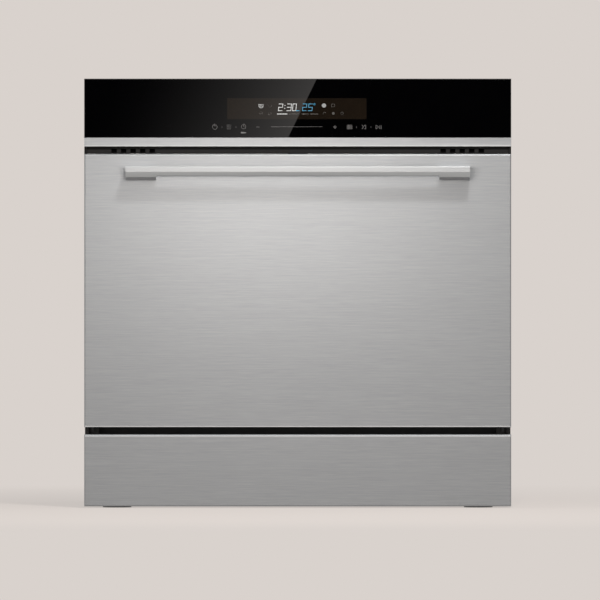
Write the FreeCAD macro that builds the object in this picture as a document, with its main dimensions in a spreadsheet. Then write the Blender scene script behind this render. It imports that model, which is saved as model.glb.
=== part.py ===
"""Compact built-in dishwasher: a drop-down door below a fixed control fascia.

Millimetres. The front faces -Y, +X is to the right seen from the front and +Z is up.
The origin is the centre of the bounding box on the floor.
"""

import FreeCAD, Part
import math
import os
import re

import Sketcher

doc = FreeCAD.newDocument("dishwasher")
sheet = doc.addObject("Spreadsheet::Sheet", "Sizes")

# Driving dimensions, each of which can be set by itself
SIZES = {
    # whole machine
    "width": 595,
    "height": 598,
    "depth": 500,
    "handle_reach": 42,
    "sheet_metal": 1,
    "edge_round": 2,
    "seat_gap": 0.3,
    "running_gap": 0.05,
    # how far a cutting tool runs past a face, and how far fused pieces reach into each other
    "overcut": 1,
    "bite": 1,
    # bands of the front, from the floor up
    "plinth_height": 102.2,
    "plinth_depth": 25,
    "plinth_lift": 2,
    "lower_gap": 9.9,
    "vent_height": 10.2,
    "rail_height": 12.2,
    "glass_height": 82.3,
    "fascia_thick": 4,
    "glass_arris": 0.8,
    "strip_thick": 2,
    "strip_back": 28,
    "strip_end_gap": 12,
    "strip_top_gap": 2,
    # door and its hinge
    "door_thick": 50,
    "hinge_depth": 19,
    "hinge_lift": 15,
    "panel_return": 48,
    "liner_lap": 12,
    "liner_drop": 5.3,
    "liner_fold": 12,
    "liner_border": 30,
    "liner_recess": 6,
    "sill_room": 20,
    "flange_gap": 7,
    "arm_thick": 3,
    "arm_length": 180,
    "arm_eye": 10,
    "arm_shoulder": 14,
    "arm_toe": 6,
    "arm_inset": 2,
    "lever_reach": 23,
    "lever_width": 8,
    "lever_tip": 3,
    "pin_radius": 4,
    "pin_head_radius": 7,
    "pin_head_thick": 3,
    "bracket_thick": 2.5,
    "bracket_eye": 8,
    "bracket_step": 20,
    "bracket_top_gap": 1,
    "bracket_neck": 12,
    "bracket_leg_front": 22,
    "bracket_leg_back": 48,
    "bracket_leg": 75,
    "rod_radius": 4,
    "spring_radius": 7,
    "spring_wall": 2,
    "spring_length": 110,
    "channel_wall": 3,
    "channel_skin": 1.2,
    "crosshead_gap": 6,
    "crosshead_thick": 4,
    "plunger_length": 51,
    "plunger_disc_thick": 3.7,
    # handle
    "handle_length": 478.8,
    "handle_drop": 18.4,
    "bar_height": 12.4,
    "bar_depth": 12.5,
    "bar_chamfer": 5,
    "bar_arris": 0.6,
    "post_width": 42.5,
    "post_drop": 5.2,
    "screw_radius": 2,
    "screw_head": 4,
    "screw_pitch": 24,
    "thread_wall": 6,
    "thread_play": 2,
    "handle_screw_head": 3,
    # carcass
    "carcass_inset": 3,
    "tray_wall": 3,
    "tray_lift": 12,
    "tray_top": 100,
    "hose_recess": 28,
    "rear_panel_foot": 108,
    "cover_inset": 1,
    "panel_lift": 2,
    "casing_screw_inset": 30,
    "casing_screw_drop": 30,
    "casing_screw_head": 1.8,
    "foot_radius": 20,
    "foot_pad": 10,
    "foot_stud_radius": 5,
    "foot_stud_length": 50,
    "foot_boss_wall": 4,
    "foot_inset_x": 45,
    "foot_inset_front": 50,
    "foot_inset_rear": 80,
    "fixing_hole_radius": 2.25,
    "fixing_pitch": 240,
    "fixing_height": 200,
    "fixing_back": 20,
    # tub
    "side_space": 25,
    "rear_space": 36,
    "gasket_space": 9,
    "gasket_width": 11,
    "well_depth": 30,
    "ledge_width": 22,
    "sill_height": 24,
    "frame_width": 20,
    # washing gear
    "sump_radius": 90,
    "sump_depth": 97,
    "sump_flange": 10,
    "sump_wall": 3,
    "arm_radius": 188,
    "spray_arm_width": 36,
    "spray_arm_thick": 10,
    "spray_tip_flat": 1,
    "arm_hub_radius": 20,
    "arm_lift": 8,
    "hub_drop": 1.5,
    "hub_rise": 4,
    "hub_play": 0.5,
    "upper_hub_rise": 1,
    "arm_floor": 2,
    "post_radius": 12,
    "filter_radius": 28,
    "filter_offset": 50,
    "filter_depth": 66,
    "filter_wall": 2,
    "filter_rim_lap": 3,
    "filter_rim_thick": 2,
    "filter_grip_width": 6,
    "filter_grip_height": 4.5,
    "pump_radius": 40,
    "pump_height": 66,
    "pump_length": 36,
    "pump_wall": 3,
    "impeller_gap": 5,
    "impeller_length": 18,
    "motor_radius": 34,
    "motor_length": 90,
    "shaft_radius": 4,
    "shaft_depth": 23,
    "drain_radius": 26,
    "drain_motor_radius": 20,
    "drain_length": 34,
    "drain_motor_length": 50,
    "drain_pipe_radius": 10.5,
    "drain_pipe_bore": 8,
    "pipe_inset": 5,
    "collar_step": 3,
    "collar_stand": 2,
    "stub_radius": 16,
    "stub_length": 12,
    "inlet_radius": 13.2,
    "inlet_bore": 9,
    "inlet_x": 220,
    "valve_width": 40,
    "valve_depth": 36,
    "valve_rise": 18,
    "valve_bore_depth": 17,
    "gland_radius": 9,
    "gland_bore": 4,
    "gland_x": 140,
    "gland_reach": 8,
    "gland_head_lap": 3,
    "gland_head_thick": 5,
    "gland_nut_lap": 4,
    "gland_nut_thick": 6,
    "softener_width": 95,
    "softener_length": 120,
    "tank_margin": 8,
    "tank_top_gap": 4,
    "salt_depth": 40,
    "salt_neck_radius": 30,
    "neck_wall": 4,
    "neck_rise": 3,
    "salt_inset_x": 45.5,
    "salt_inset_rear": 50,
    "salt_cap_height": 12,
    "salt_cap_lap": 3,
    "salt_grip_width": 8,
    "salt_grip_height": 4,
    "riser_width": 24,
    "riser_depth": 9,
    "riser_duct": 14,
    "riser_drop": 6,
    "dock_lap": 2,
    "shower_radius": 24,
    "shower_drop": 7,
    "fan_radius": 45,
    "fan_height": 30,
    "fan_length": 120,
    "fan_back": 90,
    "fan_base": 12,
    "fan_cover": 14,
    "fan_wall": 3,
    "fan_margin": 10,
    "fan_clearance": 4,
    "fan_duct_width": 64,
    "fan_duct_height": 20,
    "fan_duct_drop": 2,
    "air_break_lift": 20,
    "air_break_width": 18,
    "air_break_length": 210,
    "air_break_height": 250,
    # racks
    "rack_wire": 4,
    "mesh_pitch": 38,
    "rack_front_gap": 12,
    "rack_set_back": 39,
    "rack_back_gap": 13,
    "rack_side_gap": 22.5,
    "rack_lift": 10,
    "rack_height": 100,
    "wheel_radius": 15,
    "wheel_width": 8,
    "wheel_play": 0.5,
    "axle_radius": 3,
    "axle_collar": 2.5,
    "axle_collar_lap": 4,
    "axle_cap": 1.5,
    "axle_cap_lap": 2,
    "front_wheel_back": 129,
    "rear_wheel_front": 85,
    "tine_height": 80,
    "tine_pitch": 24,
    "tine_thick": 3,
    "tine_row_front": 150,
    "tine_row_pitch": 110,
    "tine_span": 375,
    "tine_side_gap": 4,
    "basket_width": 92,
    "basket_length": 225,
    "basket_height": 110,
    "basket_wall": 2,
    "basket_handle": 28,
    "basket_side_gap": 2,
    "basket_front_gap": 14,
    "grip_inset": 70,
    "grip_drop": 4,
    "grip_bar": 9,
    "upper_lift": 224,
    "upper_height": 70,
    "upper_front_inset": 6,
    "feed_radius": 6,
    "feed_clearance": 2,
    "feed_hub_rise": 3,
    "feed_nut_drop": 2,
    "feed_nut_step": 4,
    "slide_thick": 6,
    "slide_height": 20,
    "slide_play": 0.5,
    "slide_set_back": 16,
    "middle_inset": 2,
    "shelf_width": 72,
    "shelf_lift": 40,
    "shelf_length": 250,
    # parts behind the fascia and in the door
    "carrier_wall": 2.5,
    "carrier_inset": 2,
    "air_slot_inset": 30,
    "air_slot_gap": 4,
    "air_slot_width": 12,
    "display_width": 195,
    "display_height": 29.1,
    "display_drop": 27.3,
    "display_shift": -1.7,
    "display_depth": 12,
    "board_thick": 1.6,
    "board_margin": 60,
    "board_rise": 8,
    "vent_slot": 7.2,
    "vent_pitch": 13.3,
    "vent_slot_height": 4.6,
    "vent_slot_lift": 1.8,
    "grille_inset": 1.5,
    "vent_inset": 38,
    "vent_thick": 2,
    "door_top_play": 0.6,
    "strike_width": 24,
    "strike_thick": 2.5,
    "strike_length": 30,
    "strike_rise": 5,
    "strike_drop": 1,
    "strike_room": 2,
    "lock_width": 50,
    "lock_height": 28,
    "lock_depth": 34,
    "lock_drop": 6,
    "dispenser_width": 170,
    "dispenser_height": 116,
    "dispenser_depth": 34,
    "dispenser_top": 100,
    "dispenser_shift": -10,
    "dispenser_lip": 3,
    "dispenser_flange": 3,
    "chamber_width": 80,
    "chamber_height": 46,
    "chamber_depth": 24,
    "chamber_inset": 10,
    "chamber_drop": 12,
    "lid_lap": 4,
    "lid_thick": 2.2,
    "cap_radius": 17,
    "cap_thick": 5,
    "cap_inset": 16,
    "cap_drop": 22,
    "cap_rib_height": 2,
    "cap_rib_width": 4,
    "cap_rib_inset": 3,
    "plug_depth": 8,
    "port_depth": 12,
    "port_lap": 5,
    "button_size": 12,
    "button_rise": 33,
    "button_depth": 8,
    "button_sink": 4.5,
    "button_stand": 2.5,
}
VENT_SLOTS = 5

# Places that follow from the driving dimensions
PLACES = {
    "half": "width / 2",
    "front": "(handle_reach - depth) / 2",
    "back": "(handle_reach + depth) / 2",
    "door_bottom": "plinth_height + lower_gap",
    "glass_bottom": "height - glass_height",
    "rail_bottom": "glass_bottom - rail_height",
    "door_top": "rail_bottom - vent_height",
    "hinge_y": "front + hinge_depth",
    "hinge_z": "door_bottom + hinge_lift",
    "liner_y": "front + door_thick",
    "liner_bottom": "hinge_z + sheet_metal",
    "liner_top": "door_top - liner_drop",
    "tub_half": "half - side_space",
    "liner_half": "tub_half + liner_lap",
    "tub_front": "liner_y + gasket_space",
    "tub_back": "back - rear_space",
    "tub_top": "liner_top - liner_lap",
    "tub_mid": "(tub_front + tub_back) / 2",
    "ledge_z": "hinge_z + door_thick - hinge_depth",
    "well_floor": "ledge_z - well_depth",
    "well_half": "tub_half - ledge_width",
    "sill_top": "well_floor + sill_height",
    "floor_under": "well_floor - sheet_metal",
    "carcass_half": "half - carcass_inset",
    "tray_half": "carcass_half - sheet_metal",
    "tray_front": "front + plinth_depth",
    "tray_back": "back - hose_recess",
    "cover_top": "height - cover_inset",
    "fascia_back": "front + fascia_thick",
    "bracket_x": "tray_half - tray_wall - bracket_thick",
    "strip_half": "bracket_x - strip_end_gap",
    "arm_x": "liner_half",
    "plunger_x": "tray_half - tray_wall - channel_skin - seat_gap - spring_radius",
    "plunger_z": "hinge_z - lever_reach + lever_tip",
    "arm_z": "well_floor + arm_lift",
    "lower_half": "tub_half - rack_side_gap",
    "lower_floor": "ledge_z + rack_lift",
    "rack_back": "tub_back - rack_back_gap",
    "rack_front": "liner_y + rack_front_gap",
    "rack_floor_front": "liner_y + rack_set_back",
    "wheel_z": "ledge_z + seat_gap + wheel_radius",
    "front_wheel_y": "liner_y + front_wheel_back",
    "rear_wheel_y": "tub_back - rear_wheel_front",
    "tine_z": "lower_floor + rack_wire + seat_gap + tine_thick / 2",
    "upper_floor": "well_floor + upper_lift",
    "upper_half": "tub_half - 3 * slide_thick - 2 * slide_play",
    "upper_arm_top": "upper_floor - 2 * feed_radius - feed_clearance",
    "upper_arm_z": "upper_arm_top - spray_arm_thick",
    "feed_z": "upper_floor - feed_radius - seat_gap",
    "shelf_z": "upper_floor + shelf_lift",
    "shelf_x": "upper_half - rack_wire - seat_gap - rack_wire / 2",
    "slide_z": "upper_floor + rack_wire",
    "slide_front": "rack_front + slide_set_back",
    "salt_x": "-(well_half - salt_inset_x)",
    "salt_y": "tub_back - salt_inset_rear",
    "bar_top": "door_top - handle_drop",
    "bar_bottom": "bar_top - bar_height",
    "handle_front": "front - handle_reach",
    "bar_back": "handle_front + bar_depth",
    "display_top": "height - display_drop",
    "display_bottom": "display_top - display_height",
    "liner_floor_y": "liner_y - liner_recess",
    "dispenser_left": "dispenser_shift - dispenser_width / 2",
    "dispenser_right": "dispenser_shift + dispenser_width / 2",
    "dispenser_roof": "liner_top - dispenser_top",
    "dispenser_foot": "dispenser_roof - dispenser_height",
    "dispenser_face": "liner_floor_y + dispenser_flange",
    "chamber_left": "dispenser_left + chamber_inset",
    "chamber_roof": "dispenser_roof - chamber_drop",
    "cap_x": "dispenser_right - cap_radius - cap_inset",
    "cap_z": "dispenser_roof - cap_radius - cap_drop",
    "button_z": "dispenser_foot + button_rise",
    "sump_bottom": "floor_under - sump_depth",
    "foot_x": "half - foot_inset_x",
    "front_foot_y": "front + foot_inset_front",
    "rear_foot_y": "back - foot_inset_rear",
    "fan_floor": "tub_top + sheet_metal",
    "fan_roof": "fan_floor + fan_base + fan_height + 2 * fan_clearance + fan_cover",
    "fan_y": "tub_mid + fan_back",
    "drain_x": "-(sump_radius + stub_length + drain_length / 2)",
    "duct_top": "floor_under - sump_wall - riser_drop",
    "basket_right": "lower_half - rack_wire - basket_side_gap",
    "basket_left": "basket_right - basket_width",
    "basket_front": "rack_floor_front + basket_front_gap",
    "basket_rear": "basket_front + basket_length",
    "basket_low": "lower_floor + rack_wire + seat_gap",
    "basket_top": "basket_low + basket_height",
    "basket_mid": "basket_left + basket_width / 2",
}

for row, (alias, value) in enumerate(SIZES.items(), 1):
    sheet.set(f"A{row}", alias)
    sheet.set(f"B{row}", str(value))
    sheet.setAlias(f"B{row}", alias)
doc.recompute()


def expr(text):
    """Write a size or place, given in plain names, as an expression on the sheet."""
    def swap(match):
        word = match.group(0)
        if word in SIZES:
            return "Sizes." + word
        if word in PLACES:
            return "(" + expr(PLACES[word]) + ")"
        return word
    return re.sub(r"[a-z_][a-z_0-9]*", swap, text)


def mm(text):
    """The present value of an expression in plain names."""
    return float(sheet.evalExpression(expr(text)))


def bind(thing, setting, text):
    thing.setExpression(setting, expr(text))


def box(name, x, y, z):
    """A block between two planes on each axis."""
    block = doc.addObject("Part::Box", name)
    for side, (low, high) in zip(("Length", "Width", "Height"), (x, y, z)):
        bind(block, side, f"({high}) - ({low})")
    for axis, (low, high) in zip("xyz", (x, y, z)):
        bind(block, "Placement.Base." + axis, low)
    return block


TURN_TO = {
    "X": FreeCAD.Rotation(FreeCAD.Vector(0, 1, 0), 90),
    "Y": FreeCAD.Rotation(FreeCAD.Vector(1, 0, 0), -90),
    "Z": FreeCAD.Rotation(),
}


def rod(name, axis, at, radius, length):
    """A cylinder along one axis, from its start point at."""
    bar = doc.addObject("Part::Cylinder", name)
    bar.Placement = FreeCAD.Placement(FreeCAD.Vector(), TURN_TO[axis])
    for letter, place in zip("xyz", at):
        bind(bar, "Placement.Base." + letter, place)
    bind(bar, "Radius", radius)
    bind(bar, "Height", length)
    return bar


def join(name, *pieces):
    """One solid of several that meet."""
    fused = doc.addObject("Part::MultiFuse", name)
    fused.Shapes = list(pieces)
    return fused


def cut(name, base, *tools):
    """A solid with holes or hollows taken out."""
    result = doc.addObject("Part::Cut", name)
    result.Base = base
    result.Tool = tools[0] if len(tools) == 1 else join(name + "_tools", *tools)
    return result


def group(name, *pieces):
    """Separate solids that share a node."""
    gathered = doc.addObject("Part::Compound", name)
    gathered.Links = list(pieces)
    return gathered


def mirror(name, piece):
    """The same piece on the other side of the machine."""
    twin = doc.addObject("Part::Mirroring", name)
    twin.Source = piece
    twin.Base = FreeCAD.Vector(0, 0, 0)
    twin.Normal = FreeCAD.Vector(1, 0, 0)
    return twin


def pair(name, piece):
    """A piece and its mirror image, as two solids of one node."""
    return group(name, piece, mirror(name + "_other_side", piece))


def prism(name, role, outline, start, length):
    """A closed outline in one of the origin planes, padded along that plane's normal.

    XY pads to +Z, YZ pads to +X, and XZ pads to -Y, so its start counts towards the front.
    """
    body = doc.addObject("PartDesign::Body", name)
    sketch = body.newObject("Sketcher::SketchObject", name + "_outline")
    plane = [item for item in body.Origin.OriginFeatures if item.Role == role + "_Plane"][0]
    sketch.AttachmentSupport = (plane, [""])
    sketch.MapMode = "FlatFace"
    corners = [FreeCAD.Vector(mm(u), mm(v), 0) for u, v in outline]
    count = len(corners)
    lines = [Part.LineSegment(corners[i], corners[(i + 1) % count]) for i in range(count)]
    sketch.addGeometry(lines, False)
    rules = [Sketcher.Constraint("Coincident", i, 2, (i + 1) % count, 1) for i in range(count)]
    for i in range(count):
        rules.append(Sketcher.Constraint("DistanceX", i, 1, corners[i].x))
        rules.append(Sketcher.Constraint("DistanceY", i, 1, corners[i].y))
    sketch.addConstraint(rules)
    for i, (u, v) in enumerate(outline):
        bind(sketch, f"Constraints[{count + 2 * i}]", u)
        bind(sketch, f"Constraints[{count + 2 * i + 1}]", v)
    bind(sketch, "AttachmentOffset.Base.z", start)
    pad = body.newObject("PartDesign::Pad", name + "_pad")
    pad.Profile = sketch
    bind(pad, "Length", length)
    body.Tip = pad
    return body


def round_edges(body, radius, wanted):
    """Round the edges of a body that the test wanted picks."""
    doc.recompute()
    base = body.Tip
    names = [f"Edge{i}" for i, edge in enumerate(base.Shape.Edges, 1) if wanted(edge)]
    fillet = body.newObject("PartDesign::Fillet", body.Name + "_rounding")
    fillet.Base = (base, names)
    bind(fillet, "Radius", radius)
    body.Tip = fillet
    return body


def on_plane(axis, place):
    """A test for edges that lie in one plane."""
    level = mm(place)

    def wanted(edge):
        return all(abs(getattr(corner.Point, axis) - level) < 0.01 for corner in edge.Vertexes)
    return wanted


def along(axis):
    """A test for straight edges that run along one axis."""
    def wanted(edge):
        run = edge.Vertexes[-1].Point - edge.Vertexes[0].Point
        return run.Length > 0 and abs(getattr(run, axis)) > 0.999 * run.Length
    return wanted


def shaped(name, shape):
    """A piece whose shape is worked out here from the sheet's sizes."""
    piece = doc.addObject("Part::Feature", name)
    piece.Shape = shape
    piece.Placement = FreeCAD.Placement()
    return piece


def wire_mat(corner, run, rise, thick_way):
    """A flat mat of welded wires: a plate with a window in each mesh."""
    wire = mm("rack_wire")
    cells_run = max(1, round(run.Length / mm("mesh_pitch")))
    cells_rise = max(1, round(rise.Length / mm("mesh_pitch")))

    def at(part_run, part_rise):
        return corner + run * part_run + rise * part_rise

    def ring(run_low, run_high, rise_low, rise_high):
        points = [at(run_low, rise_low), at(run_high, rise_low)]
        points += [at(run_high, rise_high), at(run_low, rise_high)]
        return Part.makePolygon(points + points[:1])

    side = wire / run.Length
    top = wire / rise.Length
    step_run = (1 - side) / cells_run
    step_rise = (1 - top) / cells_rise
    windows = []
    for i in range(cells_run):
        for j in range(cells_rise):
            low_run = side + i * step_run
            low_rise = top + j * step_rise
            windows.append(ring(low_run, low_run + step_run - side,
                                low_rise, low_rise + step_rise - top))
    face = Part.makeFace([ring(0, 1, 0, 1)] + windows, "Part::FaceMakerBullseye")
    return face.extrude(thick_way * wire)


X_WAY = FreeCAD.Vector(1, 0, 0)
Y_WAY = FreeCAD.Vector(0, 1, 0)
Z_WAY = FreeCAD.Vector(0, 0, 1)
nodes = []


def node(piece, name):
    """Name a finished sub-part, which is then written to its own file."""
    piece.Label = name
    nodes.append(piece)
    return piece


# Base tray: moulded, carries the pumps and stands on two rear pads and the front feet
CASING_SCREW_PLACES = ("tub_front + casing_screw_inset", "tray_back - casing_screw_inset")
CASING_SCREW_LEVEL = "tray_top - casing_screw_drop"
tray_block = box("tray_block", ("-tray_half", "tray_half"), ("tray_front", "tray_back"),
                 ("tray_lift", "tray_top"))
tray_hollow = box("tray_hollow", ("-tray_half + tray_wall", "tray_half - tray_wall"),
                  ("tray_front + tray_wall", "tray_back - tray_wall"),
                  ("tray_lift + tray_wall", "tray_top + overcut"))
tray_parts = [cut("tray_shell", tray_block, tray_hollow)]
tray_holes = []
for side, sign in (("left", "-"), ("right", "")):
    tray_parts.append(rod(side + "_boss", "Z", (sign + "foot_x", "front_foot_y", "tray_lift"),
                          "foot_stud_radius + foot_boss_wall", "foot_stud_length"))
    tray_parts.append(rod(side + "_rear_pad", "Z", (sign + "foot_x", "rear_foot_y", "0"),
                          "foot_radius", "tray_lift + bite"))
    tray_holes.append(rod(side + "_stud_hole", "Z", (sign + "foot_x", "front_foot_y", "tray_lift - overcut"),
                          "foot_stud_radius + running_gap", "foot_stud_length"))
    for spot, place in enumerate(CASING_SCREW_PLACES):
        start = "-tray_half - overcut" if sign else "tray_half - tray_wall - overcut"
        tray_holes.append(rod(f"{side}_tray_screw_hole_{spot}", "X", (start, place, CASING_SCREW_LEVEL),
                              "screw_radius", "tray_wall + 2 * overcut"))
for way_out, place, radius in (("drain", "drain_x", "drain_pipe_radius + collar_step + seat_gap"),
                               ("inlet", "inlet_x", "inlet_radius + collar_step + seat_gap"),
                               ("gland", "gland_x", "gland_radius")):
    at = (place, "tray_back - tray_wall - overcut", "pump_height")
    tray_holes.append(rod(way_out + "_way_out", "Y", at, radius, "tray_wall + 2 * overcut"))
node(cut("base_tray_body", join("tray_solid", *tray_parts), *tray_holes), "base_tray")

# Levelling feet at the front: a threaded stud in the boss and a round pad on the floor
for side, sign in (("left", "-"), ("right", "")):
    pad = rod(side + "_foot_pad", "Z", (sign + "foot_x", "front_foot_y", "0"),
              "foot_radius", "foot_pad")
    stud = rod(side + "_foot_stud", "Z", (sign + "foot_x", "front_foot_y", "foot_pad - bite"),
               "foot_stud_radius", "foot_stud_length - foot_pad")
    node(join(side + "_foot_body", pad, stud), side + "_front_foot")

# Side panels: folded sheet with holes for the screws to the tray and to the niche
panel = box("side_sheet", ("tray_half", "carcass_half"), ("tub_front", "back - sheet_metal"),
            ("tray_lift + panel_lift", "cover_top"))
panel_holes = []
for spot, place in enumerate(CASING_SCREW_PLACES):
    at = ("tray_half - overcut", place, CASING_SCREW_LEVEL)
    panel_holes.append(rod(f"panel_screw_hole_{spot}", "X", at, "screw_radius", "sheet_metal + 2 * overcut"))
for spot, level in enumerate(("fixing_height", "fixing_height + fixing_pitch")):
    at = ("tray_half - overcut", "tub_front + fixing_back", level)
    panel_holes.append(rod(f"niche_hole_{spot}", "X", at, "fixing_hole_radius", "sheet_metal + 2 * overcut"))
node(pair("side_panel_pair", cut("side_panel", panel, *panel_holes)), "side_panels")

# Rear panel and top cover
node(box("rear_sheet", ("-carcass_half", "carcass_half"), ("back - sheet_metal", "back"),
         ("rear_panel_foot", "cover_top")), "rear_panel")
node(box("top_sheet", ("-tray_half", "tray_half"), ("tub_front", "back - sheet_metal"),
         ("cover_top - sheet_metal", "cover_top")), "top_cover")

# Casing screws: two a side, through the side panel into the tray
screws = []
for spot, place in enumerate(CASING_SCREW_PLACES):
    at = ("tray_half - tray_wall", place, CASING_SCREW_LEVEL)
    shank = rod(f"casing_shank_{spot}", "X", at, "screw_radius", "tray_wall + sheet_metal + bite")
    head_at = ("carcass_half", place, CASING_SCREW_LEVEL)
    head = rod(f"casing_head_{spot}", "X", head_at, "screw_head", "casing_screw_head")
    screw = join(f"casing_screw_{spot}", shank, head)
    screws += [screw, mirror(f"casing_screw_other_{spot}", screw)]
node(group("casing_screw_set", *screws), "casing_screws")

# Tub: stainless sheet, two walls, roof and back with the front frame that the door seals on
wall = box("tub_wall", ("tub_half", "tub_half + sheet_metal"), ("tub_front + sheet_metal", "tub_back"),
           ("ledge_z", "tub_top"))
roof = box("tub_roof", ("-tub_half - sheet_metal", "tub_half + sheet_metal"),
           ("tub_front + sheet_metal", "tub_back"), ("tub_top", "tub_top + sheet_metal"))
rear = box("tub_rear", ("-tub_half - sheet_metal", "tub_half + sheet_metal"),
           ("tub_back", "tub_back + sheet_metal"), ("floor_under", "tub_top + sheet_metal"))
post = box("frame_post", ("tub_half", "tray_half"), ("tub_front", "tub_front + sheet_metal"),
           ("floor_under", "tub_top + frame_width"))
lintel = box("frame_lintel", ("-tub_half", "tub_half"), ("tub_front", "tub_front + sheet_metal"),
             ("tub_top", "tub_top + frame_width"))
lock_window = box("lock_window", ("-strike_width / 2 - strike_room", "strike_width / 2 + strike_room"),
                  ("tub_front - overcut", "tub_front + sheet_metal + overcut"),
                  ("liner_top - strike_drop", "liner_top + strike_thick + strike_rise"))
sill = box("frame_sill", ("-tub_half", "tub_half"), ("tub_front", "tub_front + sheet_metal"),
           ("floor_under", "sill_top"))
node(group("tub_sheets", wall, mirror("tub_wall_left", wall), roof, rear, post,
           mirror("frame_post_left", post), cut("frame_head", lintel, lock_window), sill), "tub_shell")

# Tub floor: the well with the sump hole, its side walls and the ledges the rack rolls on
floor = box("well_sheet", ("-well_half - sheet_metal", "well_half + sheet_metal"),
            ("tub_front + sheet_metal", "tub_back"), ("floor_under", "well_floor"))
floor_holes = [
    rod("sump_hole", "Z", ("0", "tub_mid", "floor_under - overcut"), "sump_radius",
        "sheet_metal + 2 * overcut"),
    rod("salt_hole", "Z", ("salt_x", "salt_y", "floor_under - overcut"),
        "salt_neck_radius + seat_gap", "sheet_metal + 2 * overcut"),
    box("riser_hole", ("-riser_width / 2 - seat_gap", "riser_width / 2 + seat_gap"),
        ("tub_back - riser_depth - seat_gap", "tub_back + overcut"),
        ("floor_under - overcut", "well_floor + overcut")),
]
curb = box("well_side", ("well_half", "well_half + sheet_metal"),
           ("tub_front + sheet_metal", "tub_back"), ("well_floor", "ledge_z - sheet_metal"))
ledge = box("ledge_sheet", ("well_half", "tub_half + sheet_metal"),
            ("tub_front + sheet_metal", "tub_back"), ("ledge_z - sheet_metal", "ledge_z"))
node(group("floor_sheets", cut("well_bottom", floor, *floor_holes), curb, mirror("well_side_left", curb),
           ledge, mirror("ledge_left", ledge)), "tub_floor")

# Door seal: a soft ring on the frame, just clear of the shut liner
ring = box("seal_outside", ("-tub_half - gasket_width", "tub_half + gasket_width"),
           ("liner_y + seat_gap", "tub_front"), ("sill_top - gasket_width", "tub_top + gasket_width"))
mouth = box("seal_mouth", ("-tub_half", "tub_half"), ("liner_y - overcut", "tub_front + overcut"),
            ("sill_top", "tub_top"))
node(cut("seal_ring", ring, mouth), "tub_gasket")


def front_tray(name, low, high, depth):
    """A folded steel front: a face and four returns, open at the back."""
    body = prism(name, "XZ", [("-half", low), ("-half", high), ("half", high), ("half", low)],
                 f"-front - ({depth})", depth)
    round_edges(body, "edge_round", on_plane("y", "front"))
    inside = box(name + "_inside", ("-half + sheet_metal", "half - sheet_metal"),
                 ("front + sheet_metal", f"front + {depth} + overcut"),
                 (f"{low} + sheet_metal", f"{high} - sheet_metal"))
    return cut(name + "_folded", body, inside)


# Lower front panel: a folded steel tray on the base tray's front wall
node(front_tray("plinth", "plinth_lift", "plinth_height", "plinth_depth"), "plinth_panel")

# Black strip that closes the gap under the door, resting on the tray's front wall
level_part = box("strip_level", ("-strip_half", "strip_half"), ("tray_front", "hinge_y + strip_back"),
                 ("tray_top", "tray_top + strip_thick"))
upright_part = box("strip_upright", ("-strip_half", "strip_half"),
                   ("hinge_y + strip_back - strip_thick", "hinge_y + strip_back"),
                   ("tray_top", "floor_under - strip_top_gap"))
node(join("gap_strip_body", level_part, upright_part), "gap_strip")

# Control fascia: black glass over a folded steel rail, both on a moulded carrier
glass = prism("fascia_glass", "XZ", [("-half", "glass_bottom"), ("-half", "height"),
                                     ("half", "height"), ("half", "glass_bottom")],
              "-fascia_back", "fascia_thick")
round_edges(glass, "glass_arris", on_plane("y", "front"))
node(glass, "control_glass")

rail_outline = [
    ("front", "rail_bottom"), ("front", "glass_bottom"), ("fascia_back", "glass_bottom"),
    ("fascia_back", "glass_bottom - sheet_metal"), ("front + sheet_metal", "glass_bottom - sheet_metal"),
    ("front + sheet_metal", "rail_bottom + sheet_metal"), ("fascia_back", "rail_bottom + sheet_metal"),
    ("fascia_back", "rail_bottom"),
]
node(prism("fascia_rail", "YZ", rail_outline, "-half", "width"), "control_rail")

carrier = box("carrier_block", ("-half + carrier_inset", "half - carrier_inset"),
              ("fascia_back", "tub_front"), ("rail_bottom", "height - carrier_inset"))
carrier_hollow = box("carrier_hollow",
                     ("-half + carrier_inset + carrier_wall", "half - carrier_inset - carrier_wall"),
                     ("fascia_back + carrier_wall", "tub_front + overcut"),
                     ("rail_bottom + carrier_wall", "height - carrier_inset - carrier_wall"))
display_left = "display_shift - display_width / 2"
display_right = "display_shift + display_width / 2"
display_hole = box("display_hole", (display_left, display_right),
                   ("fascia_back - overcut", "fascia_back + carrier_wall + overcut"),
                   ("display_bottom", "display_top"))
slot_front = "fascia_back + vent_thick + air_slot_gap"
air_slot = box("carrier_air_slot", ("-half + air_slot_inset", "half - air_slot_inset"),
               (slot_front, f"{slot_front} + air_slot_width"),
               ("rail_bottom - overcut", "rail_bottom + carrier_wall + overcut"))
node(cut("carrier_body", carrier, carrier_hollow, display_hole, air_slot), "panel_carrier")

# Display module: the lit display fills the carrier's window, with its circuit board behind
display = box("display_body", (display_left, display_right), ("fascia_back", "fascia_back + display_depth"),
              ("display_bottom", "display_top"))
board = box("display_board", (f"{display_left} - board_margin", f"{display_right} + board_margin"),
            ("fascia_back + display_depth", "fascia_back + display_depth + board_thick"),
            ("rail_bottom + carrier_wall", "display_top + board_rise"))
node(join("display_unit", display, board), "display_module")

# Vent grille: a black strip set back between the door and the rail, five slots at each end
grille = box("grille_strip", ("-half + grille_inset", "half - grille_inset"),
             ("fascia_back", "fascia_back + vent_thick"), ("door_top + door_top_play", "rail_bottom"))
slots = []
for number in range(VENT_SLOTS):
    low = f"half - vent_inset - vent_slot - {number} * vent_pitch"
    slot = box(f"vent_slot_{number}", (low, f"{low} + vent_slot"),
               ("fascia_back - overcut", "fascia_back + vent_thick + overcut"),
               ("door_top + vent_slot_lift", "door_top + vent_slot_lift + vent_slot_height"))
    slots += [slot, mirror(f"vent_slot_other_{number}", slot)]
node(cut("grille_body", grille, *slots), "vent_grille")

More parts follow.
